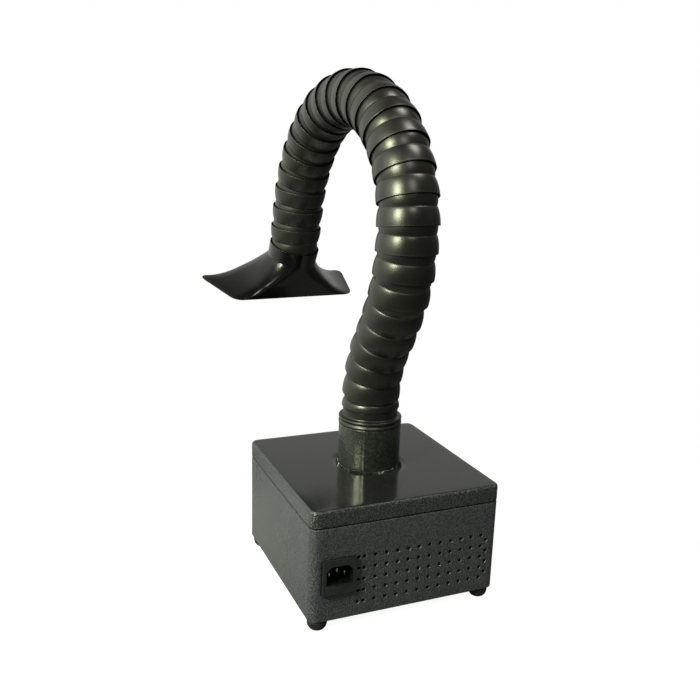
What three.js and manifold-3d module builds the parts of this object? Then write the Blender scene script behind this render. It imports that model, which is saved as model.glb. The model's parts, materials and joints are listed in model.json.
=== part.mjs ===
// Bench-top fume extractor, in millimetres with +Z up. A painted steel case on rubber feet holds
// a filter and a fan. A self-supporting arm of ball-jointed rings rises from a collar on the lid,
// bends over and ends in a flared hood.
import * as THREE from 'three';
import { mergeVertices } from 'three/addons/utils/BufferGeometryUtils.js';
import Module from 'manifold-3d';

const wasm = await Module();
wasm.setup();

// Clearances and shared sizes
const gap = 0.3;
const sheet = 1.5;
const overcut = 1;
const fineSides = 24;
const midSides = 20;
const smallSides = 10;

// Case and lid
const caseWidth = 180;
const caseDepth = 180;
const caseHeight = 85.5;
const cornerRadius = 8;
const cornerSteps = 3;
const lidHeight = 16;
const lidSeam = 0.4;
const lidFillet = 2.8;
const gasketBand = 3;
const gasketHeight = 8;

// Push-in rubber feet
const footHeight = 10;
const footTopRadius = 8.8;
const footBaseRadius = 6;
const footRound = 2.4;
const footWaist = 5.5;
const footInset = 10.5;
const footStemRadius = 3.7;
const footHeadRadius = 5.5;
const footHeadHeight = 3;

// Vent holes in the inlet side, as columns and rows on one pitch
const ventRadius = 1.6;
const ventSides = 6;
const ventPitch = 10.4;
const ventColumns = 12;
const ventRows = 5;
const ventFirstX = -41.6;
const ventLowZ = 13.6;
const ventEndColumnX = 78;

// Mains inlet with a fuse drawer under its recess
const inletX = -65;
const inletZ = 41;
const flangeWidth = 31;
const flangeHeight = 34.2;
const flangeProud = 3;
const flangeRadius = 3;
const inletBodyWidth = 27;
const inletBodyHeight = 31;
const inletBodyDepth = 27;
const inletBodyRadius = 1;
const recessWidth = 24;
const recessHeight = 16.5;
const recessDepth = 16;
const recessChamfer = 4.5;
const recessRise = 2.5;
const pinWidth = 2;
const pinHeight = 4;
const pinReach = 9;
const pinRoot = 4;
const pinTaper = 1.2;
const pinSpacing = 14;
const pinDrop = 2.4;
const earthRise = 3.4;
const drawerFrontWidth = 26;
const drawerFrontHeight = 9;
const drawerFrontThick = 2;
const drawerDrop = 11.2;
const drawerTrayWidth = 23.6;
const drawerTrayHeight = 7;
const drawerTrayDepth = 22;
const drawerNotchDepth = 0.8;
const drawerNotchHeight = 2;
const fuseRadius = 2.6;
const fuseLength = 20;
const fuseSetBack = 10;

// Rocker switch on the side under the hood
const switchX = 50;
const switchZ = 46;
const bezelWidth = 15;
const bezelHeight = 21;
const bezelProud = 2;
const switchBodyWidth = 13;
const switchBodyHeight = 19;
const switchBodyDepth = 16;
const rockerWidth = 9.6;
const rockerHeight = 16;
const rockerDepth = 6;
const rockerTilt = 10;
const rockerCrown = 1.5;
const rockerTaper = 1;
const rockerAxleRadius = 1;
const rockerAxleDepth = 1;
const rockerWellRoom = 5;

// Filter, fan deck, fan and motor, with heights above the inside of the case floor
const postRadius = 4;
const postX = 80;
const postY = 42;
const deckHeight = 66;
const deckThick = 2;
const deckHole = 37;
const bellFlange = 44;
const bellThroat = 31;
const bellDrop = 8.5;
const bellWall = 1.5;
const filterWidth = 164;
const filterDepth = 164;
const filterHeight = 22;
const filterBand = 6;
const filterRadius = 4;
const filterInnerRadius = 0.6;
const pleatCount = 11;
const pleatHeight = 17;
const pleatThick = 2.4;
const mountSize = 84;
const mountThick = 3;
const mountRadius = 6;
const motorRadius = 32;
const motorHeight = 30;
const motorRound = 3;
const bearingRadius = 9;
const bearingHeight = 6;
const shaftRadius = 4;
const shaftTip = 4;
const impellerRise = 3;
const impellerRadius = 52;
const impellerEye = 34;
const impellerHeight = 21;
const impellerDisc = 2;
const bladeCount = 8;
const bladeThick = 1.6;
const bladeArcRadius = 34;
const bladeArcStart = 100;
const bladeArcEnd = 148;
const hubRadius = 10;

// Collar and hose rings, with lengths along the arm measured from the joint inside each ring
const collarRadius = 29;
const collarWall = 2;
const collarHeight = 39.7;
const collarFlange = 34;
const beadRadius = 29.6;
const beadHeight = 7;
const beadRound = 2;
const waistRadius = 25.2;
const waistHeight = 7.5;
const spigotLength = 22;
const ringSides = 14;
const ringPitch = 21.1;
const ringCount = 26;
const lipRadius = 26.8;
const lipReach = 1;
const crownRadius = 26.8;
const crownHeight = 9;
const shoulderHeight = 12.3;
const neckRadius = 24.1;
const neckHeight = 14.7;
const boreRadius = 22.2;
const ballRadius = 24.9;
const ballReach = 6.5;
const socketRadius = 25.7;
const socketAngle = 28.5;

// The arm's bend as sections of joints, each with its bend in degrees towards the hood side
const armTurn = 4.5;
const bendSections = [
  { joints: 3, bend: -10.5 },
  { joints: 2, bend: 3 },
  { joints: 4, bend: 8 },
  { joints: 6, bend: 11.5 },
  { joints: 5, bend: 11 },
  { joints: 4, bend: 8.5 },
  { joints: 2, bend: 2.5 },
  { joints: 1, bend: 0 },
];

// Hood: a round neck flaring to a wide four-cornered mouth, longer on its far side. It sits a little
// tilted and turned on the last ball.
const hoodTilt = 9;
const hoodLean = -3.7;
const hoodTurn = -6;
const hoodNeck = 14;
const hoodLength = 50;
const hoodWall = 2;
const hoodNeckTaper = 0.4;
const hoodSides = 24;
const hoodFlareRings = 4;
const hoodNearWidth = 147;
const hoodFarWidth = 184;
const hoodNearY = 26.5;
const hoodFarY = -30;
const hoodCorner = 10;

const floorZ = footHeight + sheet;
const seamZ = footHeight + caseHeight;
const lidTop = seamZ + lidHeight;
const inletFaceY = -caseDepth / 2;
const switchFaceY = caseDepth / 2;
const degrees = THREE.MathUtils.degToRad;

const finishes = {
  paint: [0x3b3d3b, 0.55, 0.2],
  lidPaint: [0x44463f, 0.4, 0.2],
  hosePlastic: [0x20211e, 0.45, 0],
  hoodPlastic: [0x0d0d0e, 0.15, 0],
  blackPlastic: [0x141415, 0.5, 0],
  rubber: [0x121212, 0.85, 0],
  foam: [0x1b1b1b, 0.95, 0],
  filterPaper: [0xe6e3d8, 0.9, 0],
  card: [0xb9b2a0, 0.85, 0],
  zinc: [0x9a9c9e, 0.4, 0.9],
  nickel: [0xc9cacc, 0.25, 1],
  motorShell: [0x55585b, 0.5, 0.6],
  clearGlass: [0xdfe6e4, 0.08, 0],
  leadSheath: [0x1a1a1c, 0.6, 0],
};

const extractor = new THREE.Group();

function addPiece(parent, name, geometry, finish) {
  const [color, roughness, metalness] = finishes[finish];
  const material = new THREE.MeshStandardMaterial({ color, roughness, metalness });
  const mesh = new THREE.Mesh(geometry, material);
  mesh.name = name;
  parent.add(mesh);
  return mesh;
}

// Joining and cutting

function toSolid(geometry) {
  const bare = geometry.clone();
  bare.deleteAttribute('normal');
  bare.deleteAttribute('uv');
  const merged = mergeVertices(bare, 1e-4);
  const vertProperties = new Float32Array(merged.attributes.position.array);
  const triVerts = new Uint32Array(merged.index.array);
  const mesh = new wasm.Mesh({ numProp: 3, vertProperties, triVerts });
  mesh.merge();
  return new wasm.Manifold(mesh);
}

function toGeometry(solid) {
  const mesh = solid.getMesh();
  const geometry = new THREE.BufferGeometry();
  geometry.setAttribute('position', new THREE.BufferAttribute(new Float32Array(mesh.vertProperties), 3));
  geometry.setIndex(new THREE.BufferAttribute(new Uint32Array(mesh.triVerts), 1));
  geometry.computeVertexNormals();
  return geometry;
}

function cut(geometry, tools) {
  let solid = toSolid(geometry);
  for (const tool of tools) {
    solid = solid.subtract(toSolid(tool));
  }
  return toGeometry(solid);
}

function join(pieces) {
  let solid = toSolid(pieces[0]);
  for (const piece of pieces.slice(1)) {
    solid = solid.add(toSolid(piece));
  }
  return toGeometry(solid);
}

// Basic forms

// A profile of [radius, height] points turned about Z. Points run up the outside and down the
// inside, and a profile that stays off the axis is closed on itself.
function turned(profile, sides) {
  const points = profile.map(([radius, height]) => new THREE.Vector2(radius, height));
  const last = points[points.length - 1];
  if (points[0].x > 0 || last.x > 0) {
    points.push(points[0].clone());
  }
  return new THREE.LatheGeometry(points, sides).rotateX(Math.PI / 2);
}

function tube(outer, inner, low, high, sides) {
  return turned([[outer, low], [outer, high], [inner, high], [inner, low]], sides);
}

function rod(radius, low, high, sides) {
  return turned([[0, low], [radius, low], [radius, high], [0, high]], sides);
}

function roundedRectangle(width, height, radius) {
  const x = width / 2 - radius;
  const y = height / 2 - radius;
  const shape = new THREE.Shape();
  shape.absarc(x, y, radius, 0, Math.PI / 2, false);
  shape.absarc(-x, y, radius, Math.PI / 2, Math.PI, false);
  shape.absarc(-x, -y, radius, Math.PI, 1.5 * Math.PI, false);
  shape.absarc(x, -y, radius, 1.5 * Math.PI, 2 * Math.PI, false);
  return shape;
}

// A flat shape raised along +Z from a given height
function raised(shape, low, height, curveSegments = cornerSteps) {
  const geometry = new THREE.ExtrudeGeometry(shape, { depth: height, bevelEnabled: false, curveSegments });
  return geometry.translate(0, 0, low);
}

// A shape drawn as seen from outside a wall, X to the right and Y up, raised inwards along +Y
function raisedInwards(shape, x, z, y, depth, curveSegments = 3) {
  const geometry = new THREE.ExtrudeGeometry(shape, { depth, bevelEnabled: false, curveSegments });
  return geometry.rotateX(Math.PI / 2).translate(x, y + depth, z);
}

function block(width, depth, height, x, y, z) {
  return new THREE.BoxGeometry(width, depth, height).translate(x, y, z);
}

// Surfaces made of rings of points. Closed loops join the last ring to the first, and open ones
// get a flat cap at each end.
function ringed(rings, closed) {
  const sides = rings[0].length;
  const positions = rings.flat().flatMap((point) => point.toArray());
  const index = [];
  const spans = closed ? rings.length : rings.length - 1;
  for (let j = 0; j < spans; j++) {
    const low = j * sides;
    const high = ((j + 1) % rings.length) * sides;
    for (let i = 0; i < sides; i++) {
      const next = (i + 1) % sides;
      index.push(low + i, low + next, high + next, low + i, high + next, high + i);
    }
  }
  if (!closed) {
    const top = (rings.length - 1) * sides;
    for (let i = 1; i < sides - 1; i++) {
      index.push(0, i + 1, i, top, top + i, top + i + 1);
    }
  }
  const geometry = new THREE.BufferGeometry();
  geometry.setAttribute('position', new THREE.Float32BufferAttribute(positions, 3));
  geometry.setIndex(index);
  return geometry;
}

// The case's outline drawn in by an inset, at one height
function caseOutline(inset, z) {
  const shape = roundedRectangle(caseWidth - 2 * inset, caseDepth - 2 * inset, cornerRadius - inset);
  const points = shape.getPoints(cornerSteps);
  points.pop();
  return points.map((point) => new THREE.Vector3(point.x, point.y, z));
}

// Case, lid and feet

function ventCentres() {
  const centres = [];
  for (let row = 0; row < ventRows; row++) {
    const z = footHeight + ventLowZ + row * ventPitch;
    centres.push([ventFirstX - ventPitch / 2, z]);
    for (let column = 0; column < ventColumns; column++) {
      centres.push([ventFirstX + column * ventPitch, z]);
    }
    if (row > 0) {
      centres.push([ventEndColumnX, z - ventPitch / 2]);
    }
  }
  return centres;
}

function footCentres() {
  const x = caseWidth / 2 - footInset;
  const y = caseDepth / 2 - footInset;
  return { front_left: [-x, -y], front_right: [x, -y], rear_left: [-x, y], rear_right: [x, y] };
}

function makeCaseBody() {
  const shell = ringed([caseOutline(0, footHeight), caseOutline(0, seamZ)], false);
  const tools = [ringed([caseOutline(sheet, floorZ), caseOutline(sheet, seamZ + overcut)], false)];
  for (const [x, z] of ventCentres()) {
    const drill = rod(ventRadius, -sheet - overcut, sheet + overcut, ventSides);
    tools.push(drill.rotateX(Math.PI / 2).translate(x, inletFaceY, z));
  }
  const inletHole = roundedRectangle(inletBodyWidth + 2 * gap, inletBodyHeight + 2 * gap, inletBodyRadius);
  tools.push(raisedInwards(inletHole, inletX, footHeight + inletZ, inletFaceY - overcut, sheet + 2 * overcut));
  const switchDepth = sheet + 2 * overcut;
  const switchY = switchFaceY - sheet / 2;
  const switchHole = [switchBodyWidth + 2 * gap, switchDepth, switchBodyHeight + 2 * gap];
  tools.push(block(...switchHole, switchX, switchY, footHeight + switchZ));
  for (const [x, y] of Object.values(footCentres())) {
    const hole = rod(footStemRadius + gap, footHeight - overcut, floorZ + overcut, smallSides);
    tools.push(hole.translate(x, y, 0));
  }
  return cut(shell, tools);
}

function makeLid() {
  const low = seamZ + lidSeam;
  const skin = [caseOutline(0, low)];
  const hollow = [caseOutline(sheet, low - overcut)];
  const steps = 2;
  for (let step = 0; step <= steps; step++) {
    const angle = (step / steps) * (Math.PI / 2);
    const inset = lidFillet * (1 - Math.cos(angle));
    const drop = lidFillet * (1 - Math.sin(angle));
    skin.push(caseOutline(inset, lidTop - drop));
    hollow.push(caseOutline(sheet + inset, lidTop - sheet - drop));
  }
  const hole = rod(collarRadius + gap, lidTop - lidFillet, lidTop + overcut, fineSides);
  return cut(ringed(skin, false), [ringed(hollow, false), hole]);
}

function makeGasket() {
  const low = seamZ - gasketHeight / 2;
  const outer = [caseOutline(sheet + gap, low), caseOutline(sheet + gap, low + gasketHeight)];
  const inset = sheet + gap + gasketBand;
  const inner = [caseOutline(inset, low - overcut), caseOutline(inset, low + gasketHeight + overcut)];
  return cut(ringed(outer, false), [ringed(inner, false)]);
}

// A tapered foot whose stem passes through the case floor and snaps in under a wider head
function makeFoot() {
  const shoulder = footHeight - gap;
  const head = floorZ + gap;
  const profile = [
    [0, 0],
    [footBaseRadius, 0],
    [footTopRadius - footRound / 2, footRound],
    [footTopRadius, footWaist],
    [footTopRadius, shoulder],
    [footStemRadius, shoulder],
    [footStemRadius, head],
    [footHeadRadius, head],
    [footStemRadius, head + footHeadHeight],
    [0, head + footHeadHeight],
  ];
  return turned(profile, smallSides);
}

addPiece(extractor, 'case_body', makeCaseBody(), 'paint');
addPiece(extractor, 'lid', makeLid(), 'lidPaint');
addPiece(extractor, 'lid_gasket', makeGasket(), 'foam');
for (const [corner, [x, y]] of Object.entries(footCentres())) {
  addPiece(extractor, `foot_${corner}`, makeFoot(), 'rubber').position.set(x, y, 0);
}

// Mains inlet, drawn about the middle of its flange with Y running into the case

function recessOutline() {
  const x = recessWidth / 2;
  const y = recessHeight / 2;
  const shape = new THREE.Shape();
  shape.moveTo(-x, -y);
  shape.lineTo(x, -y);
  shape.lineTo(x, y - recessChamfer);
  shape.lineTo(x - recessChamfer, y);
  shape.lineTo(-x + recessChamfer, y);
  shape.lineTo(-x, y - recessChamfer);
  shape.closePath();
  return shape;
}

function pinPlaces() {
  return {
    line_pin: [-pinSpacing / 2, recessRise - pinDrop],
    neutral_pin: [pinSpacing / 2, recessRise - pinDrop],
    earth_pin: [0, recessRise - pinDrop + earthRise],
  };
}

function makeInletHousing() {
  const flange = roundedRectangle(flangeWidth, flangeHeight, flangeRadius);
  const body = roundedRectangle(inletBodyWidth, inletBodyHeight, inletBodyRadius);
  const shell = join([
    raisedInwards(flange, 0, 0, -flangeProud, flangeProud - gap),
    raisedInwards(body, 0, 0, -flangeProud, flangeProud + inletBodyDepth),
  ]);
  const slotWidth = drawerTrayWidth + 2 * gap;
  const slotHeight = drawerTrayHeight + 2 * gap;
  const slotDepth = drawerTrayDepth + 2 * gap;
  const frontPocket = [drawerFrontWidth + 2 * gap, drawerFrontThick + overcut, drawerFrontHeight + 2 * gap];
  const tools = [
    raisedInwards(recessOutline(), 0, recessRise, -flangeProud - overcut, recessDepth + overcut),
    block(slotWidth, slotDepth + flangeProud, slotHeight, 0, (slotDepth - flangeProud) / 2, -drawerDrop),
    block(...frontPocket, 0, -flangeProud + (drawerFrontThick - overcut) / 2 + gap, -drawerDrop),
  ];
  for (const [x, z] of Object.values(pinPlaces())) {
    const socket = [pinWidth + 2 * gap, pinRoot + overcut, pinHeight + 2 * gap];
    tools.push(block(...socket, x, recessDepth - flangeProud + (pinRoot - overcut) / 2, z));
  }
  return cut(shell, tools);
}

// A flat blade with a tapered tip, rooted in the floor of the recess
function makePin() {
  const root = recessDepth - flangeProud + pinRoot - gap;
  const tip = recessDepth - flangeProud - pinReach;
  const outline = new THREE.Shape();
  outline.moveTo(-pinWidth / 2, root);
  outline.lineTo(-pinWidth / 2, tip + pinTaper);
  outline.lineTo(-pinWidth / 5, tip);
  outline.lineTo(pinWidth / 5, tip);
  outline.lineTo(pinWidth / 2, tip + pinTaper);
  outline.lineTo(pinWidth / 2, root);
  outline.closePath();
  return raised(outline, -pinHeight / 2, pinHeight);
}

function makeFuseDrawer() {
  const front = [drawerFrontWidth, drawerFrontThick, drawerFrontHeight];
  const tray = [drawerTrayWidth, drawerTrayDepth, drawerTrayHeight];
  const bed = rod(fuseRadius + gap, -fuseLength / 2 - gap, fuseLength / 2 + gap, smallSides);
  bed.rotateY(Math.PI / 2).translate(0, fuseSetBack, 0);
  const mouth = [fuseLength + 2 * gap, 2 * (fuseRadius + gap), drawerTrayHeight];
  const notch = [drawerFrontWidth / 3, 2 * drawerNotchDepth, drawerNotchHeight];
  const solid = join([
    block(...front, 0, -flangeProud + drawerFrontThick / 2, 0),
    block(...tray, 0, -flangeProud + drawerFrontThick + drawerTrayDepth / 2 - overcut, 0),
  ]);
  const tools = [
    bed,
    block(...mouth, 0, fuseSetBack, drawerTrayHeight / 2),
    block(...notch, 0, -flangeProud, drawerFrontHeight / 2),
  ];
  return cut(solid, tools);
}

function makeFuse() {
  return rod(fuseRadius, -fuseLength / 2, fuseLength / 2, smallSides).rotateY(Math.PI / 2);
}

const inlet = new THREE.Group();
inlet.position.set(inletX, inletFaceY, footHeight + inletZ);
extractor.add(inlet);
addPiece(inlet, 'inlet_housing', makeInletHousing(), 'blackPlastic');
for (const [name, [x, z]] of Object.entries(pinPlaces())) {
  addPiece(inlet, name, makePin(), 'nickel').position.set(x, 0, z);
}
addPiece(inlet, 'fuse_drawer', makeFuseDrawer(), 'blackPlastic').position.set(0, 0, -drawerDrop);
addPiece(inlet, 'fuse', makeFuse(), 'clearGlass').position.set(0, fuseSetBack, -drawerDrop);

// Rocker switch, drawn about the middle of its opening with -Y running into the case

function makeSwitchBezel() {
  const bezel = block(bezelWidth, bezelProud - gap, bezelHeight, 0, (bezelProud + gap) / 2, 0);
  const bodyDepth = switchBodyDepth + bezelProud;
  const body = block(switchBodyWidth, bodyDepth, switchBodyHeight, 0, bezelProud - bodyDepth / 2, 0);
  const wellDepth = rockerDepth + rockerWellRoom;
  const well = [rockerWidth + 4 * gap, wellDepth + overcut, rockerHeight + 4 * gap];
  const axleEnd = switchBodyWidth / 2 - gap;
  const axle = rod(rockerAxleRadius + gap, -axleEnd, axleEnd, smallSides);
  return cut(join([bezel, body]), [
    block(...well, 0, bezelProud + (overcut - wellDepth) / 2, 0),
    axle.rotateY(Math.PI / 2).translate(0, -rockerAxleDepth, 0),
  ]);
}

// A shallow V across the top, so that one half stands proud while the other is pressed in
function makeRocker() {
  const half = rockerHeight / 2 - gap;
  const dip = half * Math.tan(degrees(rockerTilt));
  const outline = new THREE.Shape();
  outline.moveTo(-half + rockerTaper, -rockerDepth + dip);
  outline.lineTo(half - rockerTaper, -rockerDepth + dip);
  outline.lineTo(half, rockerCrown + dip);
  outline.lineTo(0, rockerCrown);
  outline.lineTo(-half, rockerCrown + dip);
  outline.closePath();
  const cap = raised(outline, -rockerWidth / 2, rockerWidth);
  cap.applyMatrix4(new THREE.Matrix4().makeBasis(
    new THREE.Vector3(0, 0, 1),
    new THREE.Vector3(0, 1, 0),
    new THREE.Vector3(-1, 0, 0),
  ));
  const axleLength = switchBodyWidth - 4 * gap;
  const axle = rod(rockerAxleRadius, -axleLength / 2, axleLength / 2, smallSides);
  return join([cap, axle.rotateY(Math.PI / 2)]);
}

const powerSwitch = new THREE.Group();
powerSwitch.position.set(switchX, switchFaceY, footHeight + switchZ);
extractor.add(powerSwitch);
addPiece(powerSwitch, 'switch_bezel', makeSwitchBezel(), 'blackPlastic');
const rocker = addPiece(powerSwitch, 'switch_rocker', makeRocker(), 'blackPlastic');
rocker.position.set(0, -rockerAxleDepth, 0);
rocker.rotation.x = degrees(-rockerTilt);

// Fan deck, filter, fan and motor

function makeDeck() {
  const inset = sheet + 2 * gap;
  const low = floorZ + deckHeight;
  const plate = ringed([caseOutline(inset, low), caseOutline(inset, low + deckThick)], false);
  return cut(plate, [rod(deckHole, low - overcut, low + deckThick + overcut, midSides)]);
}

// A flanged mouth that narrows into the eye of the fan
function makeBellMouth() {
  const top = floorZ + deckHeight + deckThick + gap;
  const bottom = top - bellDrop - deckThick;
  const hip = deckHole - 4 * gap;
  const profile = [
    [bellThroat + bellWall, bottom],
    [hip, top - deckThick - 2 * gap],
    [hip, top],
    [bellFlange, top],
    [bellFlange, top + bellWall],
    [hip, top + bellWall],
    [bellThroat + bellWall, top - bellWall],
    [bellThroat, bottom],
  ];
  return turned(profile, midSides);
}

function makeFilterFrame() {
  const low = floorZ + deckHeight + deckThick + gap;
  const outer = roundedRectangle(filterWidth, filterDepth, filterRadius);
  const innerWidth = filterWidth - 2 * filterBand;
  const innerDepth = filterDepth - 2 * filterBand;
  outer.holes.push(roundedRectangle(innerWidth, innerDepth, filterInnerRadius));
  return raised(outer, low, filterHeight, 2);
}

// One sheet of paper folded to and fro across the frame
function makePleats() {
  const width = filterWidth - 2 * filterBand - 2 * gap;
  const length = filterDepth - 2 * filterBand - 2 * gap;
  const low = floorZ + deckHeight + deckThick + gap + (filterHeight - pleatHeight) / 2;
  const folds = 2 * pleatCount;
  const foldX = (fold) => -width / 2 + (fold * width) / folds;
  const foldZ = (fold) => (fold % 2 === 0 ? 0 : pleatHeight - pleatThick);
  const under = [];
  const over = [];
  for (let fold = 0; fold <= folds; fold++) {
    under.push(new THREE.Vector2(foldX(fold), foldZ(fold)));
    over.unshift(new THREE.Vector2(foldX(fold), foldZ(fold) + pleatThick));
  }
  const outline = new THREE.Shape([...under, ...over]);
  const geometry = new THREE.ExtrudeGeometry(outline, { depth: length, bevelEnabled: false });
  return geometry.rotateX(Math.PI / 2).translate(0, length / 2, low);
}

const motorLow = floorZ + mountThick + 2 * gap;
const impellerLow = motorLow + motorHeight + impellerRise;

// A can with a pocket for a bearing at each end
function makeMotorBody() {
  const high = motorLow + motorHeight;
  const pocket = bearingRadius + gap;
  const channel = shaftRadius + 1;
  const profile = [
    [motorRadius - motorRound, motorLow],
    [motorRadius, motorLow + motorRound],
    [motorRadius, high - motorRound],
    [motorRadius - motorRound, high],
    [pocket, high],
    [pocket, high - bearingHeight - gap],
    [channel, high - bearingHeight - gap],
    [channel, motorLow + bearingHeight + gap],
    [pocket, motorLow + bearingHeight + gap],
    [pocket, motorLow],
  ];
  return turned(profile, midSides);
}

function makeImpeller() {
  const high = impellerLow + impellerHeight;
  const disc = tube(impellerRadius, shaftRadius + gap, impellerLow, impellerLow + impellerDisc, midSides);
  const hubTop = impellerLow + impellerHeight / 2;
  const hub = tube(hubRadius, shaftRadius + gap, impellerLow, hubTop, smallSides);
  const shroud = tube(impellerRadius, impellerEye, high - impellerDisc, high, midSides);
  const pieces = [disc, hub, shroud];
  const reach = impellerRadius - 1;
  const chordFrom = degrees(bladeArcStart);
  const chordTo = degrees(bladeArcEnd);
  for (let blade = 0; blade < bladeCount; blade++) {
    const outline = new THREE.Shape();
    outline.absarc(0, 0, bladeArcRadius + bladeThick / 2, chordFrom, chordTo, false);
    outline.absarc(0, 0, bladeArcRadius - bladeThick / 2, chordTo, chordFrom, true);
    const vane = raised(outline, impellerLow + impellerDisc / 2, impellerHeight - impellerDisc, 2);
    const tipX = bladeArcRadius * Math.cos(chordFrom);
    const tipY = bladeArcRadius * Math.sin(chordFrom);
    vane.translate(reach - tipX, -tipY, 0);
    pieces.push(vane.rotateZ((blade / bladeCount) * 2 * Math.PI));
  }
  return join(pieces);
}

const upperBearingLow = motorLow + motorHeight - bearingHeight;
const bearingBore = shaftRadius + gap;
const shaftTop = impellerLow + impellerHeight / 2 + shaftTip;
const mountPlate = raised(roundedRectangle(mountSize, mountSize, mountRadius), floorZ + gap, mountThick);
addPiece(extractor, 'motor_mount', mountPlate, 'zinc');
addPiece(extractor, 'motor_body', makeMotorBody(), 'motorShell');
for (const [end, low] of Object.entries({ lower: motorLow, upper: upperBearingLow })) {
  const bearing = tube(bearingRadius, bearingBore, low, low + bearingHeight, smallSides);
  addPiece(extractor, `bearing_${end}`, bearing, 'nickel');
}
addPiece(extractor, 'motor_shaft', rod(shaftRadius, motorLow + 2 * gap, shaftTop, smallSides), 'nickel');
addPiece(extractor, 'impeller', makeImpeller(), 'blackPlastic');
addPiece(extractor, 'fan_deck', makeDeck(), 'zinc');
addPiece(extractor, 'bell_mouth', makeBellMouth(), 'blackPlastic');
addPiece(extractor, 'filter_frame', makeFilterFrame(), 'card');
addPiece(extractor, 'filter_pleats', makePleats(), 'filterPaper');
const postLow = floorZ + gap;
const postHigh = floorZ + deckHeight - gap;
const postPlaces = { front_left: [-1, -1], front_right: [1, -1], rear_left: [-1, 1], rear_right: [1, 1] };
for (const [corner, [sideX, sideY]] of Object.entries(postPlaces)) {
  const post = addPiece(extractor, `deck_post_${corner}`, rod(postRadius, postLow, postHigh, 6), 'zinc');
  post.position.set(sideX * postX, sideY * postY, 0);
}

// Wiring: one lead from the inlet to the switch and one from the switch to the motor
function makeLead(places, radius) {
  const curve = new THREE.CatmullRomCurve3(places.map((place) => new THREE.Vector3(...place)));
  const section = new THREE.Shape();
  section.absarc(0, 0, radius, 0, 2 * Math.PI, false);
  return new THREE.ExtrudeGeometry(section, {
    steps: 3 * (places.length - 1),
    bevelEnabled: false,
    curveSegments: 3,
    extrudePath: curve,
  });
}

const leadRadius = 2.2;
const leadFloor = floorZ + leadRadius + 2;
const inletBack = inletFaceY + inletBodyDepth + 2 * gap;
const switchBack = switchFaceY - switchBodyDepth - 2 * gap;
const mainsLead = [
  [inletX, inletBack, footHeight + inletZ],
  [inletX, inletBack + 5, footHeight + inletZ],
  [inletX, inletBack + 14, footHeight + inletZ - 8],
  [inletX - 6, inletBack + 30, leadFloor + 3],
  [inletX - 6, 0, leadFloor],
  [inletX + 4, 50, leadFloor],
  [-20, 66, leadFloor],
  [30, 62, leadFloor + 2],
  [switchX - 3, switchBack - 10, footHeight + switchZ - 8],
  [switchX - 3, switchBack - 4, footHeight + switchZ],
  [switchX - 3, switchBack, footHeight + switchZ],
];
const motorLead = [
  [switchX + 3, switchBack, footHeight + switchZ],
  [switchX + 3, switchBack - 4, footHeight + switchZ],
  [switchX + 4, switchBack - 10, footHeight + switchZ - 6],
  [switchX + 4, switchBack - 22, motorLow + 14],
  [32, 22, motorLow + 10],
  [25, 21.5, motorLow + 10],
];
addPiece(extractor, 'mains_lead', makeLead(mainsLead, leadRadius), 'leadSheath');
addPiece(extractor, 'motor_lead', makeLead(motorLead, leadRadius), 'leadSheath');

// Collar on the lid, held by a flange under it

function makeCollar() {
  const under = lidTop - sheet - gap;
  const inner = collarRadius - collarWall;
  const profile = [
    [collarFlange, under - sheet],
    [collarFlange, under],
    [collarRadius, under],
    [collarRadius, lidTop + collarHeight],
    [inner, lidTop + collarHeight],
    [inner, under - sheet],
  ];
  return turned(profile, fineSides);
}

addPiece(extractor, 'inlet_collar', makeCollar(), 'paint');

// Hose rings. Each has a ball that fits the socket of the next one, with both centres on its axis.

const shoulderProfile = [
  [crownRadius - gap, crownHeight],
  [(crownRadius + neckRadius) / 2 + gap, shoulderHeight],
  [neckRadius, neckHeight],
];

function ballProfile() {
  const end = Math.sqrt(ballRadius ** 2 - ballReach ** 2);
  return [
    [ballRadius, ringPitch],
    [end, ringPitch + ballReach],
    [boreRadius, ringPitch + ballReach],
  ];
}

function socketPoint(angle) {
  return [socketRadius * Math.cos(degrees(angle)), socketRadius * Math.sin(degrees(angle))];
}

function socketProfile() {
  const lipAngle = THREE.MathUtils.radToDeg(Math.asin(-lipReach / socketRadius));
  return [socketPoint(socketAngle), socketPoint(socketAngle / 2), socketPoint(lipAngle)];
}

function makeRing() {
  const lip = [lipRadius, -lipReach];
  return turned([lip, ...shoulderProfile, ...ballProfile(), ...socketProfile()], ringSides);
}

// The first ball stands on a spigot that plugs into the collar, with a bead that rests on its rim
function makeAdaptor() {
  const bottom = -lipReach;
  const beadLow = bottom - beadHeight;
  const spigotRadius = collarRadius - collarWall - gap;
  const profile = [
    [spigotRadius, beadLow - spigotLength],
    [spigotRadius, beadLow],
    [beadRadius - 2 * gap, beadLow],
    [beadRadius, beadLow + beadRound],
    [beadRadius, bottom - beadRound],
    [beadRadius - beadRound, bottom],
    [waistRadius, bottom],
    [waistRadius, waistHeight],
    ...shoulderProfile,
    ...ballProfile(),
    [boreRadius, beadLow - spigotLength],
  ];
  return turned(profile, ringSides);
}

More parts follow.
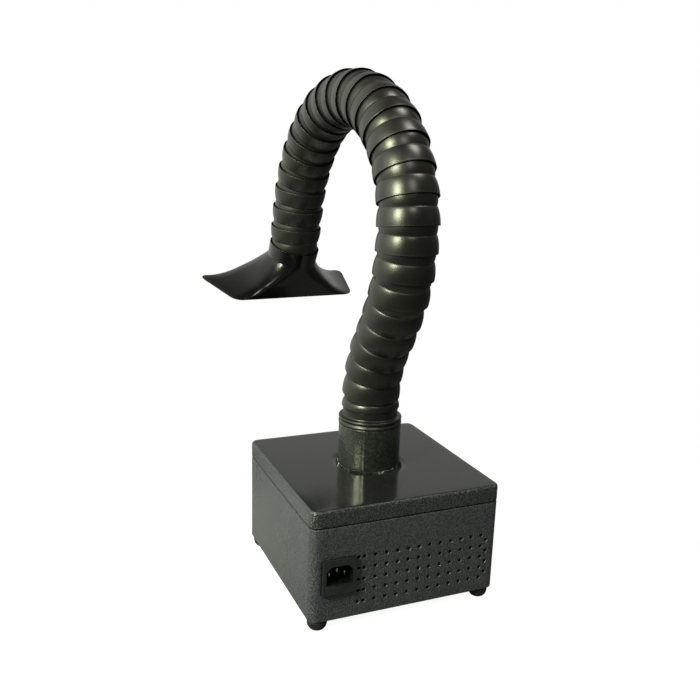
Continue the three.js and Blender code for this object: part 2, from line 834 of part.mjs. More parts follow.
// A four-cornered outline with rounded corners, with as many points for each corner and its side
function mouthOutline(inset) {
  const near = hoodNearWidth / 2 - inset;
  const far = hoodFarWidth / 2 - inset;
  const corners = [
    [near, hoodNearY - inset],
    [-near, hoodNearY - inset],
    [-far, hoodFarY + inset],
    [far, hoodFarY + inset],
  ].map(([x, y]) => new THREE.Vector2(x, y));
  const outline = [];
  const perCorner = hoodSides / 4;
  corners.forEach((corner, i) => {
    const before = corners[(i + 3) % 4].clone().sub(corner).normalize().multiplyScalar(hoodCorner).add(corner);
    const after = corners[(i + 1) % 4].clone().sub(corner).normalize().multiplyScalar(hoodCorner).add(corner);
    const bend = new THREE.QuadraticBezierCurve(before, corner, after);
    const steps = perCorner / 2;
    for (let step = 0; step < steps; step++) {
      outline.push(bend.getPoint(step / (steps - 1)));
    }
    const nextCorner = corners[(i + 1) % 4];
    const arrive = corner.clone().sub(nextCorner).normalize().multiplyScalar(hoodCorner).add(nextCorner);
    for (let step = 1; step <= perCorner - steps; step++) {
      outline.push(after.clone().lerp(arrive, step / (perCorner - steps + 1)));
    }
  });
  return outline;
}

// The flare spreads evenly from the neck while its slope levels out towards the mouth
function flareRings(neckRing, mouthRing, low, high) {
  const rings = [];
  for (let step = 1; step <= hoodFlareRings; step++) {
    const spread = step / hoodFlareRings;
    const z = high - (high - low) * (1 - spread) ** 2;
    rings.push(neckRing.map((point, i) => {
      const x = THREE.MathUtils.lerp(point.x, mouthRing[i].x, spread);
      const y = THREE.MathUtils.lerp(point.y, mouthRing[i].y, spread);
      return new THREE.Vector3(x, y, z);
    }));
  }
  return rings;
}

function makeHood() {
  const mouth = mouthOutline(0);
  const mouthInside = mouthOutline(hoodWall);
  const firstCorner = Math.PI / 4;
  const cornerMiddle = (hoodSides / 8 - 1) / 2;
  const round = (radius, z) => mouth.map((point, i) => {
    const angle = firstCorner + ((i - cornerMiddle) / hoodSides) * 2 * Math.PI;
    return new THREE.Vector3(radius * Math.cos(angle), radius * Math.sin(angle), z);
  });
  const rim = mouth.map((point) => new THREE.Vector3(point.x, point.y, hoodLength));
  const outer = [round(lipRadius, -lipReach), round(lipRadius - hoodNeckTaper, hoodNeck)];
  outer.push(...flareRings(outer[1], mouth, hoodNeck, hoodLength - hoodWall), rim);
  const throat = round(boreRadius, hoodNeck + hoodWall);
  const inner = flareRings(throat, mouthInside, hoodNeck + hoodWall, hoodLength).reverse();
  inner.push(throat);
  inner.push(...socketProfile().map(([radius, z]) => round(radius, z)));
  return ringed([...outer, ...inner], true);
}

// The arm is a chain of groups, each standing on the ball of the one before
const arm = new THREE.Group();
arm.position.set(0, 0, lidTop + collarHeight + gap + beadHeight + lipReach);
arm.rotation.z = degrees(armTurn);
extractor.add(arm);
addPiece(arm, 'hose_adaptor', makeAdaptor(), 'hosePlastic');

const bends = bendSections.flatMap(({ joints, bend }) => Array(joints).fill(bend));
let carrier = arm;
bends.forEach((bend, i) => {
  const link = new THREE.Group();
  link.position.set(0, 0, ringPitch);
  link.rotation.x = degrees(-bend);
  carrier.add(link);
  carrier = link;
  if (i < ringCount) {
    const number = String(i + 1).padStart(2, '0');
    addPiece(link, `hose_ring_${number}`, makeRing(), 'hosePlastic');
  }
});
const hood = addPiece(carrier, 'hood', makeHood(), 'hoodPlastic');
hood.rotation.set(degrees(hoodTilt), degrees(hoodLean), degrees(hoodTurn));

// The origin is the middle of the whole outline, on the surface that the feet stand on
const outlineBox = new THREE.Box3().setFromObject(extractor, true);
const middle = outlineBox.getCenter(new THREE.Vector3());
extractor.position.set(-middle.x, -middle.y, 0);
extractor.updateMatrixWorld(true);

export default extractor;
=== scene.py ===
import json
import math

import bmesh
import bpy
import numpy as np
from mathutils import Matrix, Vector


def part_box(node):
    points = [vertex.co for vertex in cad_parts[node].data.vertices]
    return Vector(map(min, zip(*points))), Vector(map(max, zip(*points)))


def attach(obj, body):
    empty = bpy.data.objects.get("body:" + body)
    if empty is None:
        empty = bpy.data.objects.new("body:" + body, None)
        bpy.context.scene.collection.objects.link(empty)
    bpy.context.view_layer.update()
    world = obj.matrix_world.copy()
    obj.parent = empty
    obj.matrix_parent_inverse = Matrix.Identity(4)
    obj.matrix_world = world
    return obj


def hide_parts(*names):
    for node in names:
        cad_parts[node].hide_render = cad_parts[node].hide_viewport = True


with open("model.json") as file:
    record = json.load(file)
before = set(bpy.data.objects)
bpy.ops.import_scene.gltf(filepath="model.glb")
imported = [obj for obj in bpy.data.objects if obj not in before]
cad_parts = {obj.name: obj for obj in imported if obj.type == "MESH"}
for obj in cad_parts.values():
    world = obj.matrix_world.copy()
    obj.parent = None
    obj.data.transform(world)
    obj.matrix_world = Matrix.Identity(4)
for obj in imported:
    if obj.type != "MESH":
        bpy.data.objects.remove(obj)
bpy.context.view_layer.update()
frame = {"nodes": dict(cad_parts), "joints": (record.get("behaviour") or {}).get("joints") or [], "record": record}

mm = 0.001  # sizes in the dictionaries are millimetres
nearZero = 1e-9  # keeps a division away from zero
samePoint = 1e-4  # points nearer than this are one
leastRadius = 0.01  # stands for zero where a shape closes on a point
creaseAngle = 35  # degrees: edges sharper than this aren't smoothed
softEdge = {"segments": 2, "creaseAngle": 50, "bevelAngle": 28, "merge": 1e-6}  # of the small fittings
joints = {joint["name"]: joint for joint in frame["joints"]}


# Shapes as grids of points

def unit(vector):
    return np.asarray(vector, float) / np.linalg.norm(vector)


def centreOf(node):
    low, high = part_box(node)
    return (np.array(low) + np.array(high)) / 2 / mm


def bent(start, corner, end, t):
    # the quadratic curve from start to end that leans towards the corner
    return (1 - t) ** 2 * start[:, None] + 2 * t * (1 - t) * corner[:, None] + t ** 2 * end[:, None]


def filleted(corners, steps=6):
    # corners are (x, y, reach): each becomes a curve that starts and ends `reach` away from it,
    # or halfway along a side that is too short for that
    corners = np.asarray(corners, float)
    points, reach = corners[:, :2], corners[:, 2:]

    def towards(others):
        side = others - points
        length = np.maximum(np.linalg.norm(side, axis=1, keepdims=True), nearZero)
        return points + side / length * np.minimum(reach, length / 2)

    start = towards(np.vstack([points[:1], points[:-1]]))
    end = towards(np.vstack([points[1:], points[-1:]]))
    t = np.linspace(0, 1, steps)[None, :, None]
    curve = bent(start, points, end, t).reshape(-1, 2)
    keep = np.r_[True, np.linalg.norm(np.diff(curve, axis=0), axis=1) > samePoint]
    return curve[keep]


def roundTheAxis(sides):
    return np.linspace(0, 2 * np.pi, sides, endpoint=False)


def polar(radius, angle, height):
    # points (r cos a, r sin a, z)
    return np.stack(np.broadcast_arrays(radius * np.cos(angle), radius * np.sin(angle), height), axis=-1)


def spun(profile, sides):
    # each radius and height of the profile carried round the Z axis
    return polar(profile[:, :1], roundTheAxis(sides), profile[:, 1:])


def placed(grid, origin, xAxis, zAxis):
    # turned so that Z runs along zAxis and X as near xAxis as that allows, then moved to the origin
    z = unit(zAxis)
    x = unit(np.asarray(xAxis, float) - np.dot(xAxis, z) * z)
    y = np.cross(z, x)
    return np.asarray(origin, float) + grid @ np.stack([x, y, z])


def gridMesh(name, grid, along=False, capFirst=False, capLast=False, drop=None, values=None,
             attribute="wear"):
    # quads between neighbouring rows and columns, closed round each row, with flat caps where asked for
    rows, columns = grid.shape[:2]
    index = np.arange(rows * columns).reshape(rows, columns)
    loop = np.hstack([index, index[:, :1]])
    if along:
        loop = np.vstack([loop, loop[:1]])
    quads = np.stack([loop[:-1, :-1], loop[:-1, 1:], loop[1:, 1:], loop[1:, :-1]], axis=-1).reshape(-1, 4)
    if drop is not None:
        quads = quads[~drop.reshape(-1)]
    faces = quads.tolist()
    if capFirst:
        faces.append(index[0, ::-1].tolist())
    if capLast:
        faces.append(index[-1].tolist())
    mesh = bpy.data.meshes.new(name)
    mesh.from_pydata((grid.reshape(-1, 3) * mm).tolist(), [], faces)
    if values is not None:
        layer = mesh.attributes.new(attribute, "FLOAT", "POINT")
        spread = np.broadcast_to(values, (rows, columns))
        layer.data.foreach_set("value", np.ascontiguousarray(spread, np.float32).reshape(-1))
    return addObject(name, mesh)


def smoothed(mesh, crease=creaseAngle):
    mesh.shade_smooth()
    mesh.set_sharp_from_angle(angle=math.radians(crease))


def addObject(name, mesh, crease=creaseAngle):
    mesh.validate()
    mesh.update()
    smoothed(mesh, crease)
    obj = bpy.data.objects.new(name, mesh)
    bpy.context.scene.collection.objects.link(obj)
    return obj


def dressed(obj, material, body, slot, *nodes):
    # gives a piece its finish, the body it rides on and the solids it stands for
    obj.data.materials.clear()
    obj.data.materials.append(material)
    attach(obj, body)
    if nodes:
        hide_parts(*nodes)
    return obj


def paintFaces(obj, finish, chosen):
    # a second finish on the chosen faces
    obj.data.materials.append(finishes[finish])
    obj.data.polygons.foreach_set("material_index", chosen.astype(np.int32))


def thickened(obj, sheet):
    # a wall of the sheet's thickness, inwards from the surface
    wall = obj.modifiers.new("sheet", "SOLIDIFY")
    wall.thickness = sheet * mm
    wall.offset = -1


def dropLoose(obj):
    # vertices that no face uses are taken out
    work = bmesh.new()
    work.from_mesh(obj.data)
    bmesh.ops.delete(work, geom=[v for v in work.verts if not v.link_faces], context="VERTS")
    work.to_mesh(obj.data)
    work.free()
    smoothed(obj.data)


def softened(node, width):
    # a copy of a solid with its edges rounded
    work = bmesh.new()
    work.from_mesh(frame["nodes"][node].data)
    bmesh.ops.remove_doubles(work, verts=work.verts[:], dist=softEdge["merge"])
    mesh = bpy.data.meshes.new(node + "_rounded")
    work.to_mesh(mesh)
    work.free()
    obj = addObject(node + "_rounded", mesh, softEdge["creaseAngle"])
    bevel = obj.modifiers.new("edges", "BEVEL")
    bevel.width = width * mm
    bevel.segments = softEdge["segments"]
    bevel.limit_method = "ANGLE"
    bevel.angle_limit = math.radians(softEdge["bevelAngle"])
    bevel.harden_normals = True
    return obj


# Shader groups

def newGroup(name, inputs, outputs):
    group = bpy.data.node_groups.new(name, "ShaderNodeTree")
    for socket, kind, value in inputs:
        made = group.interface.new_socket(name=socket, in_out="INPUT", socket_type=kind)
        made.default_value = value
    for socket, kind in outputs:
        group.interface.new_socket(name=socket, in_out="OUTPUT", socket_type=kind)
    group.nodes.new("NodeGroupInput")
    group.nodes.new("NodeGroupOutput")
    return group


def addNode(tree, kind, **settings):
    node = tree.nodes.new(kind)
    for key, value in settings.items():
        setattr(node, key, value)
    return node


def feed(tree, socket, value):
    # links an output to the socket, or sets a plain value on it
    if isinstance(value, bpy.types.NodeSocket):
        tree.links.new(value, socket)
    else:
        socket.default_value = value


def ramp(tree, source, low, high):
    # a straight ramp from 0 at `low` to 1 at `high`
    node = addNode(tree, "ShaderNodeMapRange")
    node.inputs["From Min"].default_value = low
    node.inputs["From Max"].default_value = high
    tree.links.new(source, node.inputs["Value"])
    return node.outputs["Result"]


def combine(tree, operation, first, second):
    node = addNode(tree, "ShaderNodeMath", operation=operation)
    feed(tree, node.inputs[0], first)
    feed(tree, node.inputs[1], second)
    return node.outputs["Value"]


def noise(tree, vector, scale, detail):
    node = addNode(tree, "ShaderNodeTexNoise")
    feed(tree, node.inputs["Vector"], vector)
    feed(tree, node.inputs["Scale"], scale)
    node.inputs["Detail"].default_value = detail
    return node


def stretched(tree, vector, factors):
    node = addNode(tree, "ShaderNodeVectorMath", operation="MULTIPLY")
    tree.links.new(vector, node.inputs[0])
    node.inputs[1].default_value = factors
    return node.outputs["Vector"]


floatSocket, vectorSocket = "NodeSocketFloat", "NodeSocketVector"
# shade is the height range over which the film goes from painted shade in the pits to painted light on the pebble
# tops
pebbleShape = {"warpScale": 260.0, "warpDetail": 2.0, "warp": 0.0016, "smoothness": 0.6, "dome": (0.75, 0.1),
               "gritDetail": 3.0, "gritHeight": 0.45, "shade": (0.45, 1.15), "fleckShare": (0.55, 0.9),
               "fleckEdge": (0.5, 0.2)}


def makePebbleGroup():
    # rounded pebbles of uneven size with fine pits between them, as sprayed textured enamel dries, with painted
    # shade that darkens the pits, painted light on the pebble tops, and light flecks that are partly painted
    # glints
    shape = pebbleShape
    group = newGroup(
        "enamelPebbles",
        [("Vector", vectorSocket, (0, 0, 0)), ("Pebble", floatSocket, 700.0), ("Grit", floatSocket, 2200.0)],
        [("Height", floatSocket), ("Shade", floatSocket), ("Flecks", floatSocket)],
    )
    source, sink = group.nodes["Group Input"], group.nodes["Group Output"]
    point = source.outputs["Vector"]
    warp = noise(group, point, shape["warpScale"], shape["warpDetail"])
    shift = addNode(group, "ShaderNodeVectorMath", operation="MULTIPLY_ADD")
    group.links.new(warp.outputs["Color"], shift.inputs[0])
    shift.inputs[1].default_value = (shape["warp"],) * 3
    group.links.new(point, shift.inputs[2])

    def cells(feature):
        node = addNode(group, "ShaderNodeTexVoronoi", feature=feature)
        group.links.new(shift.outputs["Vector"], node.inputs["Vector"])
        group.links.new(source.outputs["Pebble"], node.inputs["Scale"])
        return node

    pebbles = cells("SMOOTH_F1")
    pebbles.inputs["Smoothness"].default_value = shape["smoothness"]
    grit = noise(group, point, source.outputs["Grit"], shape["gritDetail"])
    domes = ramp(group, pebbles.outputs["Distance"], *shape["dome"])
    pits = combine(group, "MULTIPLY", grit.outputs["Fac"], shape["gritHeight"])
    height = combine(group, "ADD", domes, pits)
    group.links.new(height, sink.inputs["Height"])
    # painted shade and light: the colour follows the height, dark in the pits and light on the pebble tops
    group.links.new(ramp(group, height, *shape["shade"]), sink.inputs["Shade"])
    # light flecks on some cells: partly the paint's own flecks, partly painted glints
    flakes = cells("F1")
    tone = addNode(group, "ShaderNodeSeparateColor")
    group.links.new(flakes.outputs["Color"], tone.inputs["Color"])
    chosen = ramp(group, tone.outputs["Red"], *shape["fleckShare"])
    spot = ramp(group, flakes.outputs["Distance"], *shape["fleckEdge"])
    group.links.new(combine(group, "MULTIPLY", chosen, spot), sink.inputs["Flecks"])
    return group


handlingShape = {"cloudDetail": 5.0, "cloudRoughness": 0.6, "clouds": (0.3, 0.7), "stretch": (1.0, 0.35, 5.0),
                 "scratchDetail": 6.0, "scratches": (0.66, 0.74)}


def makeHandlingGroup():
    # cloudy marks and sparse fine scratches left by use
    shape = handlingShape
    group = newGroup(
        "handlingMarks",
        [("Vector", vectorSocket, (0, 0, 0)), ("Cloud", floatSocket, 24.0), ("Scratch", floatSocket, 90.0)],
        [("Clouds", floatSocket), ("Scratches", floatSocket)],
    )
    source, sink = group.nodes["Group Input"], group.nodes["Group Output"]
    point = source.outputs["Vector"]
    cloud = noise(group, point, source.outputs["Cloud"], shape["cloudDetail"])
    cloud.inputs["Roughness"].default_value = shape["cloudRoughness"]
    drawn = stretched(group, point, shape["stretch"])
    scratch = noise(group, drawn, source.outputs["Scratch"], shape["scratchDetail"])
    group.links.new(ramp(group, cloud.outputs["Fac"], *shape["clouds"]), sink.inputs["Clouds"])
    group.links.new(ramp(group, scratch.outputs["Fac"], *shape["scratches"]), sink.inputs["Scratches"])
    return group


pebbleGroup = makePebbleGroup()
handlingGroup = makeHandlingGroup()
glossIor = 1.5  # of paint, plastic and glass


def startMaterial(name, metallic=0.0, specular=0.5, coat=0.0, coatRoughness=0.1, tint=(1, 1, 1)):
    material = bpy.data.materials.new(name)
    material.use_nodes = True
    shader = material.node_tree.nodes["Principled BSDF"]
    shader.inputs["Metallic"].default_value = metallic
    shader.inputs["Specular IOR Level"].default_value = specular
    shader.inputs["Coat Weight"].default_value = coat
    shader.inputs["Coat Roughness"].default_value = coatRoughness
    shader.inputs["IOR"].default_value = glossIor
    shader.inputs["Specular Tint"].default_value = (*tint, 1)
    return material, material.node_tree, shader


def glossOf(look):
    # the gloss settings that a look gives; the others keep their usual values
    return {key: look[key] for key in ("specular", "coat", "coatRoughness", "tint") if key in look}


def placeGroup(tree, group, vector, **values):
    node = addNode(tree, "ShaderNodeGroup", node_tree=group)
    tree.links.new(vector, node.inputs["Vector"])
    for key, value in values.items():
        node.inputs[key].default_value = value
    return node


def objectPoint(tree):
    return addNode(tree, "ShaderNodeTexCoord").outputs["Object"]


def mixColours(tree, factor, first, second):
    node = addNode(tree, "ShaderNodeMix", data_type="RGBA")
    tree.links.new(factor, node.inputs["Factor"])
    for socket, value in ((node.inputs[6], first), (node.inputs[7], second)):  # the two colours of a Mix node
        feed(tree, socket, (*value, 1) if isinstance(value, tuple) else value)
    return node.outputs[2]


def setColour(tree, shader, factor, first, second):
    tree.links.new(mixColours(tree, factor, first, second), shader.inputs["Base Color"])


def setRoughness(tree, shader, factor, low, high):
    node = addNode(tree, "ShaderNodeMapRange")
    node.inputs["To Min"].default_value = low
    node.inputs["To Max"].default_value = high
    tree.links.new(factor, node.inputs["Value"])
    tree.links.new(node.outputs["Result"], shader.inputs["Roughness"])


def setBump(tree, shader, height, distance, strength):
    node = addNode(tree, "ShaderNodeBump")
    node.inputs["Distance"].default_value = distance * mm
    node.inputs["Strength"].default_value = strength
    tree.links.new(height, node.inputs["Height"])
    tree.links.new(node.outputs["Normal"], shader.inputs["Normal"])


def makeEnamel(name, look):
    # dark enamel: pebbled film with painted shade in the pits and painted light on the pebble tops, light flecks
    # that are partly painted glints, cloudy handling marks
    material, tree, shader = startMaterial(name, **glossOf(look))
    point = objectPoint(tree)
    pebbles = placeGroup(tree, pebbleGroup, point, Pebble=look["pebble"], Grit=look["grit"])
    marks = placeGroup(tree, handlingGroup, point, Cloud=look["cloud"])
    flecks = combine(tree, "MULTIPLY", pebbles.outputs["Flecks"], look["fleckAmount"])
    clouds = combine(tree, "MULTIPLY", marks.outputs["Clouds"], look["cloudAmount"])
    # painted shade in the pits and painted light on the pebble tops
    film = mixColours(tree, pebbles.outputs["Shade"], look["pitShade"], look["top"])
    # light flecks, partly painted glints
    film = mixColours(tree, flecks, film, look["fleckAndGlint"])
    setColour(tree, shader, clouds, film, look["haze"])
    setRoughness(tree, shader, marks.outputs["Clouds"], *look["roughness"])
    setBump(tree, shader, pebbles.outputs["Height"], look["relief"], look["strength"])
    return material


mouldedGrain = {"detail": 3.0, "leastScuff": 0.35}


def makeMoulded(name, look):
    # moulded plastic: fine flow mottle, scuffed rims where the wear attribute is high
    material, tree, shader = startMaterial(name, **glossOf(look))
    point = objectPoint(tree)
    marks = placeGroup(tree, handlingGroup, point, Cloud=look["cloud"], Scratch=look["scratch"])
    clouds = marks.outputs["Clouds"]
    base = mixColours(tree, clouds, look["dark"], look["light"])
    wear = addNode(tree, "ShaderNodeAttribute", attribute_name="wear")
    patchy = combine(tree, "ADD", clouds, mouldedGrain["leastScuff"])
    rims = combine(tree, "MULTIPLY", wear.outputs["Fac"], patchy)
    scratches = combine(tree, "MULTIPLY", marks.outputs["Scratches"], look["scratchAmount"])
    scuff = combine(tree, "MINIMUM", combine(tree, "ADD", rims, scratches), 1.0)
    setColour(tree, shader, scuff, base, look["scuffed"])
    smooth, rough = look["roughness"]
    dulled = combine(tree, "MULTIPLY", combine(tree, "ADD", clouds, scuff), 0.5)  # the mean of the two
    setRoughness(tree, shader, dulled, smooth, 2 * rough - smooth)
    grain = noise(tree, point, look["grain"], mouldedGrain["detail"])
    setBump(tree, shader, grain.outputs["Fac"], look["relief"], look["strength"])
    return material


drawnGrain = {"detail": 4.0, "streak": (0.3, 0.7), "strength": 0.3}


def makeMetal(name, look):
    # bare or plated metal with a drawn grain along one axis
    material, tree, shader = startMaterial(name, metallic=1.0)
    drawn = stretched(tree, objectPoint(tree), look["stretch"])
    grain = noise(tree, drawn, look["grain"], drawnGrain["detail"]).outputs["Fac"]
    streak = ramp(tree, grain, *drawnGrain["streak"])
    setColour(tree, shader, streak, look["dark"], look["light"])
    setRoughness(tree, shader, streak, *look["roughness"])
    setBump(tree, shader, grain, look["relief"], drawnGrain["strength"])
    return material


fibreGrain = {"specular": 0.2, "detail": 8.0, "matted": (0.35, 0.65), "roughness": (0.8, 0.95),
              "strength": 0.6}


def makeFibre(name, look):
    # paper, board and foam: matted fibres or cells seen as noise in many layers
    material, tree, shader = startMaterial(name, **glossOf(fibreGrain))
    grain = noise(tree, objectPoint(tree), look["grain"], fibreGrain["detail"]).outputs["Fac"]
    matted = ramp(tree, grain, *fibreGrain["matted"])
    setColour(tree, shader, matted, look["dark"], look["light"])
    setRoughness(tree, shader, matted, *fibreGrain["roughness"])
    setBump(tree, shader, grain, look["relief"], fibreGrain["strength"])
    return material


def makeGlass(name, look):
    # clear glass with a faint smear
    material, tree, shader = startMaterial(name)
    shader.inputs["Transmission Weight"].default_value = 1.0
    shader.inputs["Base Color"].default_value = (*look["colour"], 1)
    smear = placeGroup(tree, handlingGroup, objectPoint(tree), Cloud=look["cloud"])
    setRoughness(tree, shader, smear.outputs["Clouds"], *look["roughness"])
    return material


# pitShade and top: painted shade in the hollows of the pebbles and painted light on their tops; fleckAndGlint:
# light flecks that are partly painted glints
caseLook = {
    "pitShade": (0.026, 0.031, 0.035), "top": (0.068, 0.078, 0.0865), "haze": (0.07, 0.079, 0.086),
    "pebble": 760.0, "grit": 2300.0, "cloud": 14.0, "cloudAmount": 0.08,
    "fleckAndGlint": (0.12, 0.135, 0.145), "fleckAmount": 0.12,
    "roughness": (0.2, 0.3), "specular": 0.4, "relief": 0.45, "strength": 1.0,
}
lidSideLook = dict(caseLook, pitShade=(0.015, 0.0175, 0.019), top=(0.045, 0.051, 0.054), fleckAmount=0.2,
                   roughness=(0.1, 0.18), specular=0.55, relief=0.55)
lidTopLook = {
    "pitShade": (0.007, 0.0076, 0.0068), "top": (0.012, 0.0128, 0.0112), "haze": (0.018, 0.018, 0.016),
    "pebble": 420.0, "grit": 1500.0, "cloud": 11.0, "cloudAmount": 0.25,
    "fleckAndGlint": (0.03, 0.03, 0.028), "fleckAmount": 0.3,
    "roughness": (0.1, 0.17), "specular": 0.5, "relief": 0.12, "strength": 0.1,
}
collarLook = {
    "pitShade": (0.008, 0.0095, 0.0072), "top": (0.016, 0.0183, 0.0145), "haze": (0.025, 0.028, 0.022),
    "pebble": 380.0, "grit": 1300.0, "cloud": 30.0, "cloudAmount": 0.2,
    "fleckAndGlint": (0.06, 0.067, 0.055), "fleckAmount": 0.3,
    "roughness": (0.19, 0.28), "specular": 0.85, "relief": 0.25, "strength": 0.4, "tint": (0.96, 1.0, 0.9),
}
weldLook = dict(collarLook, roughness=(0.06, 0.14), relief=0.3, strength=0.8)
hoseLook = {
    "dark": (0.0045, 0.0045, 0.004), "light": (0.008, 0.008, 0.0068), "scuffed": (0.01, 0.01, 0.0088),
    "cloud": 35.0, "scratch": 70.0, "scratchAmount": 0.1, "grain": 900.0,
    "roughness": (0.28, 0.38), "specular": 0.62, "tint": (0.98, 1.0, 0.89),
    "relief": 0.06, "strength": 0.25,
}
hoodLook = {
    "dark": (0.0012, 0.0013, 0.0013), "light": (0.0024, 0.0025, 0.0024), "scuffed": (0.012, 0.012, 0.011),
    "cloud": 20.0, "scratch": 60.0, "scratchAmount": 0.1, "grain": 160.0,
    "roughness": (0.1, 0.22), "specular": 0.48, "coat": 0.2, "coatRoughness": 0.04,
    "relief": 0.08, "strength": 0.12,
}
fittingLook = {
    "dark": (0.006, 0.0074, 0.0072), "light": (0.012, 0.0142, 0.0138), "scuffed": (0.045, 0.05, 0.048),
    "cloud": 90.0, "scratch": 160.0, "scratchAmount": 0.08, "grain": 1600.0,
    "roughness": (0.32, 0.46), "specular": 0.5,
    "relief": 0.08, "strength": 0.4,
}
# painted shade for the inside of the socket: the fitting's plastic made darker and duller
socketShadeLook = dict(fittingLook, dark=(0.0015, 0.0016, 0.0016), light=(0.003, 0.0032, 0.0032), specular=0.3)
rubberLook = {
    "dark": (0.006, 0.006, 0.006), "light": (0.014, 0.014, 0.0135), "scuffed": (0.05, 0.049, 0.045),
    "cloud": 70.0, "scratch": 120.0, "scratchAmount": 0.2, "grain": 1200.0,
    "roughness": (0.6, 0.8), "specular": 0.35,
    "relief": 0.15, "strength": 0.5,
}
nickelLook = {"dark": (0.45, 0.45, 0.44), "light": (0.75, 0.75, 0.74), "grain": 500.0,
              "stretch": (1.0, 0.15, 1.0), "roughness": (0.14, 0.28), "relief": 0.02}
zincLook = {"dark": (0.3, 0.31, 0.33), "light": (0.52, 0.53, 0.54), "grain": 160.0,
            "stretch": (1.0, 1.0, 1.0), "roughness": (0.3, 0.48), "relief": 0.03}
shellLook = {"dark": (0.08, 0.085, 0.09), "light": (0.15, 0.155, 0.16), "grain": 900.0,
             "stretch": (1.0, 1.0, 1.0), "roughness": (0.42, 0.6), "relief": 0.12}
paperLook = {"dark": (0.62, 0.6, 0.53), "light": (0.8, 0.78, 0.71), "grain": 1400.0, "relief": 0.1}
cardLook = {"dark": (0.4, 0.36, 0.28), "light": (0.52, 0.48, 0.38), "grain": 700.0, "relief": 0.08}
foamLook = {"dark": (0.006, 0.006, 0.006), "light": (0.02, 0.02, 0.02), "grain": 2500.0, "relief": 0.2}
glassLook = {"colour": (0.9, 0.95, 0.93), "cloud": 300.0, "roughness": (0.03, 0.12)}

finishLooks = {  # finish: (how it is made, its look)
    "case_paint": (makeEnamel, caseLook),
    "lid_paint": (makeEnamel, lidTopLook),
    "lid_side_paint": (makeEnamel, lidSideLook),
    "collar_paint": (makeEnamel, collarLook),
    "weld_paint": (makeEnamel, weldLook),
    "hose_plastic": (makeMoulded, hoseLook),
    "hood_plastic": (makeMoulded, hoodLook),
    "black_plastic": (makeMoulded, fittingLook),
    "socket_plastic": (makeMoulded, socketShadeLook),
    "rubber": (makeMoulded, rubberLook),
    "lead_sheath": (makeMoulded, rubberLook),
    "nickel": (makeMetal, nickelLook),
    "zinc_plate": (makeMetal, zincLook),
    "motor_shell": (makeMetal, shellLook),
    "filter_paper": (makeFibre, paperLook),
    "filter_card": (makeFibre, cardLook),
    "foam": (makeFibre, foamLook),
    "fuse_glass": (makeGlass, glassLook),
}
finishes = {name: make(name, look) for name, (make, look) in finishLooks.items()}
for part in frame["record"]["subparts"]:
    node = frame["nodes"][part["node"]]
    node.data.materials.clear()
    node.data.materials.append(finishes[part["material_slot"]])
print("finishes:", len(finishes))


# Case and lid

caseMiddle = centreOf("case_body")
caseSize = {"width": 180.0, "depth": 180.0, "corner": 8.0, "sheet": 1.5, "low": 10.0, "seam": 95.5,
            "bottomRound": 1.6, "lipRound": 0.9, "baseCorner": 0.1, "inletFlange": 1.75, "switchFlange": 1.0,
            "flatSteps": 12, "cornerSteps": 12, "arcSteps": 48, "roundSteps": 5, "wallLines": 9}
vents = {"radius": 1.6, "pitch": 10.4, "columns": 12, "rows": 5, "firstX": -41.6, "lowZ": 23.6,
         "endX": 78.0, "lattice": 16, "ring": 3}


def outlineTable(inset):
    # the rounded rectangle as a dense loop, starting at the left end of the vented face and running to +X
    halfX = caseSize["width"] / 2 - caseSize["corner"]
    halfY = caseSize["depth"] / 2 - caseSize["corner"]
    radius = max(caseSize["corner"] - inset, leastRadius)
    start = np.radians([-90, 0, 90, 180])
    turn = start[:, None] + np.linspace(0, np.pi / 2, caseSize["arcSteps"] + 1)
    middle = np.array([[halfX, -halfY], [halfX, halfY], [-halfX, halfY], [-halfX, -halfY]])
    arcs = middle[:, None] + radius * np.stack([np.cos(turn), np.sin(turn)], axis=-1)
    loop = arcs.reshape(-1, 2)
    first = np.array([[-halfX, -halfY - radius]])
    return np.vstack([first, loop[:-1], first])


nominalLoop = outlineTable(0)
nominalRun = np.r_[0, np.cumsum(np.linalg.norm(np.diff(nominalLoop, axis=0), axis=1))]
flatStart = -(caseSize["width"] / 2 - caseSize["corner"])


def outlineAt(along, inset):
    # points of the inset outline that stand opposite the given distances along the full outline
    loop = outlineTable(inset)
    run = (np.asarray(along) - flatStart) % nominalRun[-1]
    return np.stack([np.interp(run, nominalRun, loop[:, 0]), np.interp(run, nominalRun, loop[:, 1])], axis=-1)


def gridLines(*parts, decimals=4):
    # all the given lines in order, with doubles dropped
    return np.unique(np.round(np.concatenate(parts), decimals))


def outlineLines():
    # distances along the outline: flats and corners in even steps
    arc = caseSize["corner"] * np.pi / 2
    parts, at = [], flatStart
    for side in ("width", "depth", "width", "depth"):
        flat = caseSize[side] - 2 * caseSize["corner"]
        parts.append(np.linspace(at, at + flat, caseSize["flatSteps"], endpoint=False))
        parts.append(np.linspace(at + flat, at + flat + arc, caseSize["cornerSteps"], endpoint=False))
        at += flat + arc
    return gridLines(*parts)


def ventCentres():
    # rows and columns one pitch apart, a column half a pitch before them and a staggered one at the far end
    row = vents["lowZ"] + vents["pitch"] * np.arange(vents["rows"])
    column = vents["firstX"] + vents["pitch"] * np.r_[-0.5, np.arange(vents["columns"])]
    main = np.stack(np.meshgrid(column, row), axis=-1).reshape(-1, 2)
    end = np.stack([np.full(vents["rows"] - 1, vents["endX"]), row[1:] - vents["pitch"] / 2], axis=-1)
    return np.vstack([main, end])


def rows3d(along, rows):
    # rows are (inset, height) pairs: each is the outline drawn in by the inset and set at the height
    return np.stack([np.c_[outlineAt(along, inset), np.full(len(along), height)] for inset, height in rows])


def roundedUp(radius, low, steps):
    # a quarter round from the underside up to the wall
    turn = np.linspace(0, np.pi / 2, steps)
    return [(radius * (1 - math.sin(a)), low + radius * (1 - math.cos(a))) for a in turn]


